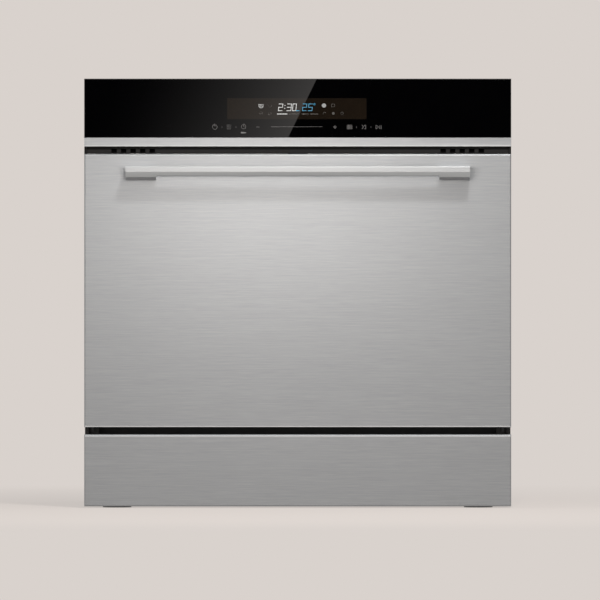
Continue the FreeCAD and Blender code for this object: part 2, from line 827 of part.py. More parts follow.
# Door lock: a housing behind the frame's window, with the mouth that takes the strike
lock = box("lock_block", ("-lock_width / 2", "lock_width / 2"),
           ("tub_front + sheet_metal", "tub_front + sheet_metal + lock_depth"),
           ("liner_top - lock_drop", "liner_top - lock_drop + lock_height"))
lock_mouth = box("lock_mouth", ("-strike_width / 2 - strike_room", "strike_width / 2 + strike_room"),
                 ("tub_front", "tub_front + sheet_metal + strike_length"),
                 ("liner_top - strike_drop", "liner_top + strike_thick + strike_rise"))
node(cut("lock_body", lock, lock_mouth), "door_lock")

# Sump: a bowl under the tub floor with the arm's feed post and a stub for each pump
bowl = rod("sump_bowl", "Z", ("0", "tub_mid", "sump_bottom"), "sump_radius", "sump_depth")
flange = rod("sump_flange_ring", "Z", ("0", "tub_mid", "floor_under - sump_wall"),
             "sump_radius + sump_flange", "sump_wall")
stubs = rod("sump_stubs", "X", ("-sump_radius - stub_length", "tub_mid", "pump_height"),
            "stub_radius", "2 * (sump_radius + stub_length)")
inside = rod("sump_inside", "Z", ("0", "tub_mid", "sump_bottom + sump_wall"),
             "sump_radius - sump_wall", "sump_depth")
stub_bore = rod("stub_bore", "X", ("-sump_radius - stub_length - overcut", "tub_mid", "pump_height"),
                "stub_radius - sump_wall", "2 * (sump_radius + stub_length + overcut)")
shell = cut("sump_shell", join("sump_solid", bowl, flange, stubs), join("sump_void", inside, stub_bore))
feed_post = rod("feed_post", "Z", ("0", "tub_mid", "sump_bottom"), "post_radius",
                "arm_z + spray_arm_thick - sump_bottom")
feed_bore = rod("feed_bore", "Z", ("0", "tub_mid", "sump_bottom + sump_wall"), "post_radius - sump_wall",
                "arm_z + spray_arm_thick - sump_bottom")
node(cut("sump_body", join("sump_and_post", shell, feed_post), feed_bore), "sump")

# Filter: a flat strainer in the floor and a lift-out cylinder that locks by a part turn
plate = rod("strainer", "Z", ("0", "tub_mid", "floor_under"), "sump_radius - seat_gap", "sheet_metal")
plate_holes = [
    rod("strainer_post_hole", "Z", ("0", "tub_mid", "floor_under - overcut"), "post_radius + seat_gap",
        "sheet_metal + 2 * overcut"),
    rod("strainer_filter_hole", "Z", ("filter_offset", "tub_mid", "floor_under - overcut"),
        "filter_radius + seat_gap", "sheet_metal + 2 * overcut"),
]
node(cut("strainer_body", plate, *plate_holes), "filter_plate")

filter_tube = rod("filter_tube", "Z", ("filter_offset", "tub_mid", "well_floor - filter_depth"),
                  "filter_radius", "filter_depth + bite")
filter_rim = rod("filter_rim", "Z", ("filter_offset", "tub_mid", "well_floor + seat_gap"),
                 "filter_radius + filter_rim_lap", "filter_rim_thick")
filter_grip = box("filter_grip",
                  ("filter_offset - filter_grip_width / 2", "filter_offset + filter_grip_width / 2"),
                  ("tub_mid - filter_radius + filter_wall", "tub_mid + filter_radius - filter_wall"),
                  ("well_floor + bite", "well_floor + bite + filter_grip_height"))
filter_void = rod("filter_void", "Z", ("filter_offset", "tub_mid", "well_floor - filter_depth + filter_wall"),
                  "filter_radius - filter_wall", "filter_depth + filter_rim_thick + overcut")
hollow_filter = cut("filter_shell", join("filter_solid", filter_tube, filter_rim), filter_void)
node(join("filter_body", hollow_filter, filter_grip), "filter_cylinder")


def spray_arm(name, low):
    """A flat tapering arm with a round hub, on the machine's middle."""
    reach, wide = "arm_radius", "spray_arm_width / 2"
    tip = "spray_arm_width / 4"
    outline = [
        ("-" + reach, f"tub_mid - {tip}"), ("0", f"tub_mid - {wide}"), (reach, f"tub_mid - {tip}"),
        (reach, f"tub_mid + {tip}"), ("0", f"tub_mid + {wide}"), ("-" + reach, f"tub_mid + {tip}"),
    ]
    blade = prism(name + "_blade", "XY", outline, low, "spray_arm_thick")

    def at_tip(edge):
        return along("z")(edge) and abs(edge.Vertexes[0].Point.x) > mm(reach) / 2
    round_edges(blade, tip + " - spray_tip_flat", at_tip)
    return blade


# Lower spray arm: turns on the sump's feed post
lower_blade = spray_arm("lower_arm", "arm_z")
lower_hub = rod("lower_arm_hub", "Z", ("0", "tub_mid", "arm_z - hub_drop"), "arm_hub_radius",
                "hub_drop + spray_arm_thick + hub_rise")
lower_bore = rod("lower_arm_bore", "Z", ("0", "tub_mid", "arm_z - hub_drop - overcut"),
                 "post_radius + running_gap", "overcut + hub_drop + spray_arm_thick + hub_play")
node(cut("lower_arm_body", join("lower_arm_solid", lower_blade, lower_hub), lower_bore), "lower_spray_arm")

# Wash pump: volute and motor on the sump's right stub, with the impeller on its shaft
pump_start = "sump_radius + stub_length"
volute = rod("pump_volute", "X", (pump_start, "tub_mid", "pump_height"), "pump_radius", "pump_length")
motor = rod("pump_motor", "X", (f"{pump_start} + pump_length - bite", "tub_mid", "pump_height"),
            "motor_radius", "motor_length")
chamber = rod("pump_chamber", "X", (f"{pump_start} + pump_wall", "tub_mid", "pump_height"),
              "pump_radius - pump_wall", "pump_length - 2 * pump_wall")
eye = rod("pump_eye", "X", (f"{pump_start} - overcut", "tub_mid", "pump_height"),
          "stub_radius - sump_wall", "pump_wall + 2 * overcut")
shaft_hole = rod("pump_shaft_hole", "X",
                 (f"{pump_start} + pump_length - pump_wall - overcut", "tub_mid", "pump_height"),
                 "shaft_radius + running_gap", "overcut + pump_wall + shaft_depth + seat_gap")
node(cut("wash_pump_body", join("wash_pump_solid", volute, motor),
         join("wash_pump_void", chamber, eye, shaft_hole)), "wash_pump")
disc_start = f"{pump_start} + pump_wall + impeller_gap"
disc = rod("impeller_disc", "X", (disc_start, "tub_mid", "pump_height"),
           "pump_radius - pump_wall - impeller_gap", "impeller_length")
shaft = rod("impeller_shaft", "X", (f"{disc_start} - bite", "tub_mid", "pump_height"),
            "shaft_radius", "bite - impeller_gap - pump_wall + pump_length + shaft_depth")
node(join("impeller_body", disc, shaft), "wash_impeller")

# Drain pump: on the left stub, its pipe in a collar through the tray's back wall
drain_start = "-(sump_radius + stub_length)"
drain_housing = rod("drain_housing", "X", (f"{drain_start} - drain_length", "tub_mid", "pump_height"),
                    "drain_radius", "drain_length")
drain_motor = rod("drain_motor", "X",
                  (f"{drain_start} - drain_length - drain_motor_length + bite", "tub_mid", "pump_height"),
                  "drain_motor_radius", "drain_motor_length")
drain_pipe = rod("drain_pipe", "Y", ("drain_x", "tub_mid", "pump_height"), "drain_pipe_radius",
                 "back - pipe_inset - tub_mid")
drain_collar = rod("drain_collar", "Y", ("drain_x", "tray_back - tray_wall - collar_stand", "pump_height"),
                   "drain_pipe_radius + collar_step", "tray_wall + 2 * collar_stand")
drain_bore = rod("drain_bore", "Y", ("drain_x", "tub_mid", "pump_height"), "drain_pipe_bore",
                 "back - tub_mid")
drain_eye = rod("drain_eye", "X", (f"{drain_start} - drain_length / 2", "tub_mid", "pump_height"),
                "stub_radius - sump_wall", "drain_length / 2 + overcut")
node(cut("drain_pump_body", join("drain_pump_solid", drain_housing, drain_motor, drain_pipe, drain_collar),
         join("drain_pump_void", drain_bore, drain_eye)), "drain_pump")

# Inlet valve: its threaded spigot comes out through the tray's back wall in a plain collar
valve = box("valve_block", ("inlet_x - valve_width / 2", "inlet_x + valve_width / 2"),
            ("tray_back - tray_wall - valve_depth", "tray_back - tray_wall"),
            ("tray_lift + tray_wall", "pump_height + valve_rise"))
spigot = rod("inlet_spigot", "Y", ("inlet_x", "tray_back - tray_wall - bite", "pump_height"),
             "inlet_radius", "back - pipe_inset - tray_back + tray_wall + bite")
inlet_collar = rod("inlet_collar", "Y", ("inlet_x", "tray_back - tray_wall - bite", "pump_height"),
                   "inlet_radius + collar_step", "bite + tray_wall + collar_stand")
spigot_bore = rod("inlet_spigot_bore", "Y",
                  ("inlet_x", "tray_back - tray_wall - valve_bore_depth", "pump_height"),
                  "inlet_bore", "valve_bore_depth + tray_wall + back - tray_back")
node(cut("inlet_valve_body", join("inlet_valve_solid", valve, spigot, inlet_collar), spigot_bore),
     "inlet_valve")

# Mains gland: a collar in the tray's back wall, with no cord in it
gland_body = rod("gland_barrel", "Y", ("gland_x", "tray_back - tray_wall - gland_reach", "pump_height"),
                 "gland_radius", "tray_wall + 2 * gland_reach")
gland_head = rod("gland_head", "Y", ("gland_x", "tray_back", "pump_height"),
                 "gland_radius + gland_head_lap", "gland_head_thick")
gland_nut = rod("gland_nut", "Y", ("gland_x", "tray_back - tray_wall - gland_nut_thick", "pump_height"),
                "gland_radius + gland_nut_lap", "gland_nut_thick")
gland_hole = rod("gland_hole", "Y",
                 ("gland_x", "tray_back - tray_wall - gland_reach - overcut", "pump_height"),
                 "gland_bore", "tray_wall + 2 * gland_reach + 2 * overcut")
node(cut("gland_solid", join("gland_outside", gland_body, gland_head, gland_nut), gland_hole), "mains_gland")

# Water softener: a tank in the tray whose salt neck comes up through the tub floor
tank_right = "salt_x + salt_neck_radius + tank_margin"
tank_rear = "salt_y + salt_neck_radius + tank_margin"
tank = box("softener_tank", (f"{tank_right} - softener_width", tank_right),
           (f"{tank_rear} - softener_length", tank_rear),
           ("tray_lift + tray_wall", "floor_under - tank_top_gap"))
neck = rod("salt_neck", "Z", ("salt_x", "salt_y", "floor_under - tank_top_gap - bite"),
           "salt_neck_radius", "bite + tank_top_gap + sheet_metal + neck_rise")
neck_bore = rod("salt_neck_bore", "Z", ("salt_x", "salt_y", "floor_under - salt_depth"),
                "salt_neck_radius - neck_wall", "salt_depth + sheet_metal + neck_rise + overcut")
node(cut("softener_body", join("softener_solid", tank, neck), neck_bore), "water_softener")

# Salt cap: screws over the neck
cap = rod("salt_cap_disc", "Z", ("salt_x", "salt_y", "well_floor + neck_rise + seat_gap"),
          "salt_neck_radius + salt_cap_lap", "salt_cap_height - salt_grip_height")
cap_grip_top = "well_floor + neck_rise + salt_cap_height"
cap_grip = box("salt_cap_grip",
               ("salt_x - salt_neck_radius + neck_wall", "salt_x + salt_neck_radius - neck_wall"),
               ("salt_y - salt_grip_width / 2", "salt_y + salt_grip_width / 2"),
               (f"{cap_grip_top} - salt_grip_height", cap_grip_top))
node(join("salt_cap_body", cap, cap_grip), "salt_cap")

# Feed riser: under the floor, up the back wall and along the roof to the top shower
duct = box("riser_duct_under", ("-riser_width / 2", "riser_width / 2"),
           ("tub_mid + sump_radius - bite", "tub_back"), ("duct_top - riser_duct", "duct_top"))
upright = box("riser_upright", ("-riser_width / 2", "riser_width / 2"),
              ("tub_back - riser_depth", "tub_back"),
              ("duct_top - riser_duct", "tub_top"))
along_roof = box("riser_roof", ("-riser_width / 2", "riser_width / 2"), ("tub_mid", "tub_back"),
                 ("tub_top - riser_depth", "tub_top"))
shower = rod("top_shower", "Z", ("0", "tub_mid", "tub_top - riser_depth - shower_drop"),
             "shower_radius", "shower_drop + bite")
dock = rod("feed_dock", "Y", ("0", "rack_back + seat_gap", "feed_z"), "feed_radius + dock_lap",
           "rack_back_gap - riser_depth + bite")
bowl_room = rod("riser_sump_room", "Z", ("0", "tub_mid", "sump_bottom"), "sump_radius", "sump_depth")
node(cut("riser_body", join("riser_solid", duct, upright, along_roof, shower, dock), bowl_room),
     "feed_riser")

# Air break: a flat water box clipped to the tub's left wall
node(box("air_break_box", ("-tub_half - sheet_metal - air_break_width", "-tub_half - sheet_metal"),
         ("tub_mid - air_break_length / 2", "tub_mid + air_break_length / 2"),
         ("ledge_z + air_break_lift", "ledge_z + air_break_lift + air_break_height")), "air_break")

# Drying fan: a housing on the tub roof with a duct forward to the fascia, and its rotor
housing = box("fan_box", ("-fan_radius - fan_margin", "fan_radius + fan_margin"),
              ("fan_y - fan_length / 2", "fan_y + fan_length / 2"), ("fan_floor", "fan_roof"))
duct_roof = "fan_roof - fan_duct_drop"
fan_duct = box("fan_duct", ("-fan_duct_width / 2", "fan_duct_width / 2"),
               ("tub_front + sheet_metal", "fan_y - fan_length / 2 + bite"),
               (f"{duct_roof} - fan_duct_height", duct_roof))
fan_room = rod("fan_room", "Z", ("0", "fan_y", "fan_floor + fan_base"), "fan_radius + fan_clearance",
               "fan_height + 2 * fan_clearance")
fan_way = box("fan_way", ("-fan_duct_width / 2 + fan_wall", "fan_duct_width / 2 - fan_wall"),
              ("tub_front", "fan_y"), (f"{duct_roof} - fan_duct_height + fan_wall", "fan_roof - fan_cover"))
fan_pin_hole = rod("fan_pin_hole", "Z", ("0", "fan_y", "fan_floor + fan_wall"),
                   "shaft_radius + running_gap", "fan_base")
node(cut("fan_housing_body", join("fan_solid", housing, fan_duct),
         join("fan_void", fan_room, fan_way, fan_pin_hole)), "fan_housing")
wheel = rod("fan_wheel", "Z", ("0", "fan_y", "fan_floor + fan_base + fan_clearance"), "fan_radius",
            "fan_height")
spindle = rod("fan_spindle", "Z", ("0", "fan_y", "fan_floor + fan_wall + bite"), "shaft_radius",
              "fan_base + fan_clearance - fan_wall")
node(join("fan_rotor_body", wheel, spindle), "fan_rotor")

# Door panel: folded steel, its lower corners cut back so that it clears the sill as it turns
skin = front_tray("door_skin", "door_bottom", "door_top", "panel_return")
corner_room = box("door_corner_room", ("-half - overcut", "half + overcut"),
                  ("hinge_y + sill_room", "liner_y"), ("door_bottom - overcut", "liner_bottom"))
flange_z = ("door_bottom - overcut", "door_bottom + sheet_metal + overcut")
flange_room = box("door_flange_room", ("-half + sheet_metal", "half - sheet_metal"),
                  ("hinge_y - flange_gap", "liner_y"), flange_z)
bracket_room = box("door_bracket_room", ("strip_half", "half - sheet_metal"),
                   ("front + edge_round", "liner_y"), flange_z)
handle_x = "handle_length / 2 - post_width / 2"
screw_spots = [f"{handle_x} - screw_pitch / 2", f"{handle_x} + screw_pitch / 2"]
screw_z = "(bar_top + bar_bottom) / 2"
screw_holes = []
for spot, place in enumerate(screw_spots):
    hole = rod(f"handle_hole_{spot}", "Y", (place, "front - overcut", screw_z), "screw_radius",
               "sheet_metal + 2 * overcut")
    screw_holes += [hole, mirror(f"handle_hole_other_{spot}", hole)]
node(cut("door_panel_body", skin, corner_room, flange_room, bracket_room,
         mirror("door_bracket_room_left", bracket_room), *screw_holes), "door_panel")

# Handle: a bevelled bar on two end posts, held by screws from inside the door
bar_outline = [
    ("handle_front", "bar_bottom + bar_chamfer"), ("handle_front", "bar_top"), ("bar_back", "bar_top"),
    ("bar_back", "bar_bottom"), ("handle_front + bar_chamfer", "bar_bottom"),
]
bar = prism("handle_bar_body", "YZ", bar_outline, "-handle_length / 2", "handle_length")
round_edges(bar, "bar_arris", along("x"))
post_outline = [
    ("bar_back", "bar_bottom"), ("bar_back", "bar_top"), ("front", "bar_top"),
    ("front", "bar_bottom - post_drop"), ("bar_back + post_drop", "bar_bottom - post_drop"),
]
post_body = prism("handle_post_body", "YZ", post_outline, "handle_length / 2 - post_width", "post_width")
thread_holes = [rod(f"post_thread_{spot}", "Y", (place, "bar_back + thread_wall", screw_z),
                    "screw_radius", "front - bar_back") for spot, place in enumerate(screw_spots)]
post_cut = cut("handle_post", post_body, *thread_holes)
node(group("handle_set", bar, post_cut, mirror("handle_post_left", post_cut)), "door_handle")

shanks = []
for spot, place in enumerate(screw_spots):
    shank_end = "bar_back + thread_wall + thread_play"
    shank = rod(f"handle_shank_{spot}", "Y", (place, shank_end, screw_z), "screw_radius",
                f"front + sheet_metal + bite - ({shank_end})")
    head = rod(f"handle_head_{spot}", "Y", (place, "front + sheet_metal", screw_z), "screw_head",
               "handle_screw_head")
    screw = join(f"handle_screw_{spot}", shank, head)
    shanks += [screw, mirror(f"handle_screw_other_{spot}", screw)]
node(group("handle_screw_set", *shanks), "handle_screws")

# Door liner: stainless, with a folded rim, a pressed-in middle and a hole for the dispenser
rim = box("liner_rim", ("-liner_half", "liner_half"), ("liner_y - liner_fold", "liner_y"),
          ("liner_bottom", "liner_top"))
rim_inside = box("liner_rim_inside", ("-liner_half + sheet_metal", "liner_half - sheet_metal"),
                 ("liner_y - liner_fold - overcut", "liner_y - sheet_metal"),
                 ("liner_bottom + sheet_metal", "liner_top - sheet_metal"))
dish_x = ("-liner_half + liner_border", "liner_half - liner_border")
dish_z = ("liner_bottom + liner_border", "liner_top - liner_border")
dish_outer = box("liner_dish_outer", ("-liner_half + liner_border - sheet_metal",
                                      "liner_half - liner_border + sheet_metal"),
                 ("liner_floor_y - sheet_metal", "liner_y - sheet_metal / 2"),
                 ("liner_bottom + liner_border - sheet_metal", "liner_top - liner_border + sheet_metal"))
dish = box("liner_dish", dish_x, ("liner_floor_y", "liner_y + overcut"), dish_z)
dispenser_room = box("dispenser_room", ("dispenser_left + dispenser_lip", "dispenser_right - dispenser_lip"),
                     ("liner_floor_y - sheet_metal - overcut", "liner_floor_y + overcut"),
                     ("dispenser_foot + dispenser_lip", "dispenser_roof - dispenser_lip"))
rim_shell = cut("liner_shell", rim, rim_inside)
node(cut("liner_body", join("liner_pressed", rim_shell, dish_outer), dish, dispenser_room), "door_liner")

# Door strike: the steel tongue on top of the liner that enters the lock
node(box("strike_tongue", ("-strike_width / 2", "strike_width / 2"),
         ("liner_y - liner_fold", "liner_y - liner_fold + strike_length"),
         ("liner_top", "liner_top + strike_thick")), "door_strike")

# Hinge arms: steel plates on the liner's sides, each with a lever below the pivot
arm_outline = [
    ("hinge_y - lever_width / 2", "hinge_z - lever_reach"),
    ("hinge_y + lever_width / 2", "hinge_z - lever_reach"),
    ("hinge_y + lever_width / 2", "hinge_z - arm_eye"),
    ("hinge_y + arm_shoulder", "hinge_z + lever_width / 2"),
    ("liner_y - arm_inset", "hinge_z + arm_toe"), ("liner_y - arm_inset", "hinge_z + arm_length"),
    ("liner_y - liner_fold", "hinge_z + arm_length"), ("hinge_y - arm_eye", "hinge_z + arm_shoulder"),
    ("hinge_y - arm_eye", "hinge_z - lever_width"),
]
arm = prism("hinge_arm", "YZ", arm_outline, "arm_x", "arm_thick")
arm_bore = rod("hinge_arm_bore", "X", ("arm_x - overcut", "hinge_y", "hinge_z"),
               "pin_radius + running_gap", "arm_thick + 2 * overcut")
node(pair("hinge_arm_pair", cut("hinge_arm_bored", arm, arm_bore)), "hinge_arms")

# Hinge brackets: on the tray's side walls, each with its riveted pivot pin
bracket_outline = [
    ("hinge_y - bracket_eye", "hinge_z - bracket_eye"), ("hinge_y - bracket_eye", "hinge_z + bracket_eye"),
    ("hinge_y + bracket_eye", "hinge_z + bracket_eye"),
    ("hinge_y + bracket_step", "hinge_z - bracket_top_gap"),
    ("hinge_y + bracket_leg_back", "hinge_z - bracket_top_gap"),
    ("hinge_y + bracket_leg_back", "hinge_z - bracket_leg"),
    ("hinge_y + bracket_leg_front", "hinge_z - bracket_leg"),
    ("hinge_y + bracket_leg_front", "hinge_z - bracket_neck"),
    ("hinge_y + bracket_eye", "hinge_z - bracket_neck"),
]
bracket = prism("hinge_bracket", "YZ", bracket_outline, "bracket_x", "bracket_thick")
pin = rod("hinge_pin", "X", ("arm_x - seat_gap - bite", "hinge_y", "hinge_z"), "pin_radius",
          "bracket_x + bracket_thick - arm_x + seat_gap + bite")
pin_head = rod("hinge_pin_head", "X", ("arm_x - seat_gap - pin_head_thick", "hinge_y", "hinge_z"),
               "pin_head_radius", "pin_head_thick")
node(pair("hinge_bracket_pair", join("hinge_bracket_body", bracket, pin, pin_head)), "hinge_brackets")

# Balance gear: each lever pushes a plunger back against a spring in its housing
head_rear = "hinge_y + crosshead_gap + crosshead_thick"
housing_front = f"{head_rear} - bite + plunger_length"
disc_front = f"{housing_front} + channel_wall + seat_gap"
spring_front = f"{disc_front} + plunger_disc_thick + seat_gap"
spring_room = "plunger_disc_thick + spring_length + 3 * seat_gap"
housing_block = box("spring_housing", ("plunger_x - spring_radius - channel_wall", "tray_half - tray_wall"),
                    (housing_front, f"{housing_front} + 2 * channel_wall + {spring_room}"),
                    ("plunger_z - spring_radius - channel_wall", "plunger_z + spring_radius + channel_wall"))
housing_bore = rod("spring_bore", "Y", ("plunger_x", f"{housing_front} + channel_wall", "plunger_z"),
                   "spring_radius + seat_gap", spring_room)
rod_hole = rod("plunger_hole", "Y", ("plunger_x", f"{housing_front} - overcut", "plunger_z"),
               "rod_radius + running_gap", "channel_wall + 2 * overcut")
node(pair("spring_housing_pair", cut("spring_housing_body", housing_block, housing_bore, rod_hole)),
     "hinge_channels")
spring_outside = rod("spring_outside", "Y", ("plunger_x", spring_front, "plunger_z"),
                     "spring_radius", "spring_length")
spring_inside = rod("spring_inside", "Y", ("plunger_x", f"{spring_front} - overcut", "plunger_z"),
                    "spring_radius - spring_wall", "spring_length + 2 * overcut")
node(pair("hinge_spring_pair", cut("hinge_spring", spring_outside, spring_inside)), "hinge_springs")
crosshead = box("plunger_head", ("plunger_x - rod_radius - bite", "arm_x + arm_thick"),
                ("hinge_y + crosshead_gap", head_rear), ("plunger_z - rod_radius", "plunger_z + rod_radius"))
plunger_rod = rod("plunger_rod", "Y", ("plunger_x", f"{head_rear} - bite", "plunger_z"), "rod_radius",
                  "plunger_length + channel_wall + seat_gap + bite")
plunger_disc = rod("plunger_disc", "Y", ("plunger_x", disc_front, "plunger_z"), "spring_radius",
                   "plunger_disc_thick")
node(pair("plunger_pair", join("plunger_body", crosshead, plunger_rod, plunger_disc)), "hinge_plungers")

# Dispenser: a moulded body in the liner with a detergent chamber, button and rinse-aid port
dispenser_plate = box("dispenser_plate", ("dispenser_left", "dispenser_right"),
                      ("liner_floor_y", "dispenser_face"), ("dispenser_foot", "dispenser_roof"))
dispenser_block = box("dispenser_block",
                      ("dispenser_left + dispenser_lip", "dispenser_right - dispenser_lip"),
                      ("dispenser_face - dispenser_depth", "dispenser_face - bite"),
                      ("dispenser_foot + dispenser_lip", "dispenser_roof - dispenser_lip"))
dispenser_chamber = box("dispenser_chamber", ("chamber_left", "chamber_left + chamber_width"),
                        ("dispenser_face - chamber_depth", "dispenser_face + overcut"),
                        ("chamber_roof - chamber_height", "chamber_roof"))
button_room = box("button_room", ("cap_x - button_size / 2 - seat_gap", "cap_x + button_size / 2 + seat_gap"),
                  ("dispenser_face - button_depth", "dispenser_face + overcut"),
                  ("button_z - button_size / 2 - seat_gap", "button_z + button_size / 2 + seat_gap"))
rinse_port = rod("rinse_port", "Y", ("cap_x", "dispenser_face - port_depth", "cap_z"),
                 "cap_radius - port_lap", "port_depth + overcut")
node(cut("dispenser_solid", join("dispenser_whole", dispenser_plate, dispenser_block),
         dispenser_chamber, button_room, rinse_port), "dispenser_body")
node(box("dispenser_slide", ("chamber_left - lid_lap", "chamber_left + chamber_width + lid_lap"),
         ("dispenser_face + seat_gap", "dispenser_face + seat_gap + lid_thick"),
         ("chamber_roof - chamber_height - lid_lap", "chamber_roof + lid_lap")), "dispenser_lid")
cap_disc = rod("rinse_cap_disc", "Y", ("cap_x", "dispenser_face + seat_gap", "cap_z"),
               "cap_radius", "cap_thick - cap_rib_height")
cap_plug = rod("rinse_cap_plug", "Y", ("cap_x", "dispenser_face - plug_depth", "cap_z"),
               "cap_radius - port_lap - running_gap", "plug_depth + seat_gap + bite")
cap_rib = box("rinse_cap_rib", ("cap_x - cap_radius + cap_rib_inset", "cap_x + cap_radius - cap_rib_inset"),
              ("dispenser_face + cap_thick - cap_rib_height - bite", "dispenser_face + cap_thick"),
              ("cap_z - cap_rib_width / 2", "cap_z + cap_rib_width / 2"))
node(join("rinse_cap_body", cap_disc, cap_plug, cap_rib), "rinse_aid_cap")
node(box("button_block", ("cap_x - button_size / 2", "cap_x + button_size / 2"),
         ("dispenser_face - button_sink", "dispenser_face + button_stand"),
         ("button_z - button_size / 2", "button_z + button_size / 2")), "dispenser_button")


def basket_mats(half, y_floor, y_top, y_back, low, tall):
    """Floor, back, two sides and a front that leans out, as flat mats that meet at their edges."""
    wire = mm("rack_wire")
    x = mm(half)
    front_low, front_top, back_y, z, rise = mm(y_floor), mm(y_top), mm(y_back), mm(low), mm(tall)
    up = FreeCAD.Vector(0, front_top - front_low, rise)
    lean = up.cross(X_WAY).normalize() * -1
    mats = [wire_mat(FreeCAD.Vector(-x, front_low, z), X_WAY * 2 * x, Y_WAY * (back_y - front_low), Z_WAY)]
    mats.append(wire_mat(FreeCAD.Vector(-x, back_y - wire, z + wire), X_WAY * 2 * x,
                         Z_WAY * (rise - wire), Y_WAY))
    for inner in (-x, x - wire):
        mats.append(wire_mat(FreeCAD.Vector(inner, front_low + wire, z + wire),
                             Y_WAY * (back_y - 2 * wire - front_low), Z_WAY * (rise - wire), X_WAY))
    start = FreeCAD.Vector(-x, front_low, z + wire)
    mats.append(wire_mat(start, X_WAY * 2 * x, up * ((rise - wire) / rise), lean))
    return mats


# Lower rack: welded wire mats with stub axles at the sides for its wheels
lower_mats = basket_mats("lower_half", "rack_floor_front", "rack_front + rack_wire", "rack_back",
                         "lower_floor", "rack_height")
axles = []
for side, start_x in ((-1, -mm("lower_half")), (1, mm("lower_half"))):
    for place in ("front_wheel_y", "rear_wheel_y"):
        at = FreeCAD.Vector(start_x, mm(place), mm("wheel_z"))
        outward = X_WAY * side
        cap_at = at + outward * mm("axle_collar + seat_gap + wheel_width + wheel_play")
        collar = Part.makeCylinder(mm("axle_radius + axle_collar_lap"), mm("axle_collar"), at, outward)
        stub = Part.makeCylinder(mm("axle_radius"), (cap_at - at).Length + mm("axle_cap"), at, outward)
        end_cap = Part.makeCylinder(mm("axle_radius + axle_cap_lap"), mm("axle_cap"), cap_at, outward)
        axles.append(stub.fuse([collar, end_cap]).removeSplitter())
node(shaped("lower_rack_mats", Part.makeCompound(lower_mats + axles)), "lower_rack")

# Rack wheels: a front and a rear pair, each pair on one line
for which in ("front", "rear"):
    tyre_x = "lower_half + axle_collar + seat_gap"
    tyre = rod(which + "_tyre", "X", (tyre_x, which + "_wheel_y", "wheel_z"), "wheel_radius", "wheel_width")
    bore = rod(which + "_tyre_bore", "X", (f"{tyre_x} - overcut", which + "_wheel_y", "wheel_z"),
               "axle_radius + running_gap", "wheel_width + 2 * overcut")
    node(pair(which + "_wheel_pair", cut(which + "_wheel_body", tyre, bore)), which + "_wheels")

# Folding tine rows: a comb on a round axle along the lower rack's floor
for number, which in enumerate(("front", "rear")):
    left = mm("-lower_half + rack_wire + tine_side_gap")
    right = left + mm("tine_span")
    thick = mm("tine_thick")
    middle_y = mm(f"liner_y + tine_row_front + {number} * tine_row_pitch")
    axle_z = mm("tine_z")
    base = axle_z + thick / 2
    top = axle_z + mm("tine_height")
    points = [(left, axle_z), (left, base)]
    for i in range(int(mm("tine_span") // mm("tine_pitch"))):
        start = left + (i + 0.5) * mm("tine_pitch") - thick / 2
        points += [(start, base), (start, top), (start + thick, top), (start + thick, base)]
    points += [(right, base), (right, axle_z)]
    outline = [FreeCAD.Vector(x, middle_y - thick / 2, z) for x, z in points]
    comb = Part.Face(Part.makePolygon(outline + outline[:1])).extrude(Y_WAY * thick)
    axle = Part.makeCylinder(thick / 2, right - left, FreeCAD.Vector(left, middle_y, axle_z), X_WAY)
    node(shaped(which + "_tine_comb", comb.fuse(axle)), which + "_tines")

# Cutlery basket: floor, four walls and a carrying handle, as one open box of panels
wall_z = ("basket_low + basket_wall", "basket_top")
inner_x = ("basket_left + basket_wall", "basket_right - basket_wall")
panels = [
    box("basket_floor", ("basket_left", "basket_right"), ("basket_front", "basket_rear"),
        ("basket_low", "basket_low + basket_wall")),
    box("basket_left_wall", ("basket_left", inner_x[0]), ("basket_front", "basket_rear"), wall_z),
    box("basket_right_wall", (inner_x[1], "basket_right"), ("basket_front", "basket_rear"), wall_z),
    box("basket_front_wall", inner_x, ("basket_front", "basket_front + basket_wall"), wall_z),
    box("basket_rear_wall", inner_x, ("basket_rear - basket_wall", "basket_rear"), wall_z),
]
divider = box("basket_divider", ("basket_mid - basket_wall / 2", "basket_mid + basket_wall / 2"),
              ("basket_front + basket_wall", "basket_rear - basket_wall"),
              ("basket_low + basket_wall", "basket_top + basket_handle"))
grip_hole = box("basket_grip_hole", ("basket_mid - basket_wall", "basket_mid + basket_wall"),
                ("basket_front + grip_inset", "basket_rear - grip_inset"),
                ("basket_top - grip_drop", "basket_top + basket_handle - grip_bar"))
node(group("basket_panels", *panels, cut("basket_handle_plate", divider, grip_hole)), "cutlery_basket")

# Upper rack: the same mats, smaller, with a runner strip on each side
upper_mats = basket_mats("upper_half", "rack_front + upper_front_inset", "rack_front + rack_wire",
                         "rack_back", "upper_floor", "upper_height")
runner = box("rack_runner", ("upper_half", "upper_half + slide_thick"), ("slide_front", "rack_back"),
             ("slide_z", "slide_z + slide_height"))
node(group("upper_rack_set", shaped("upper_rack_mats", Part.makeCompound(upper_mats)),
           pair("runner_pair", runner)), "upper_rack")

# Feed tube: clipped under the upper rack, from the riser's dock to the upper spray arm
tube = rod("feed_tube", "Y", ("0", "tub_mid", "feed_z"), "feed_radius", "rack_back - tub_mid")
feed_hub = rod("feed_hub", "Z", ("0", "tub_mid", "upper_arm_z + arm_floor"), "post_radius",
               "feed_z + feed_hub_rise - upper_arm_z - arm_floor")
feed_nut = rod("feed_nut", "Z", ("0", "tub_mid", "upper_arm_z - feed_nut_drop"),
               "post_radius - feed_nut_step", "feed_nut_drop + arm_floor + bite")
node(join("upper_feed_body", tube, feed_hub, feed_nut), "upper_feed")

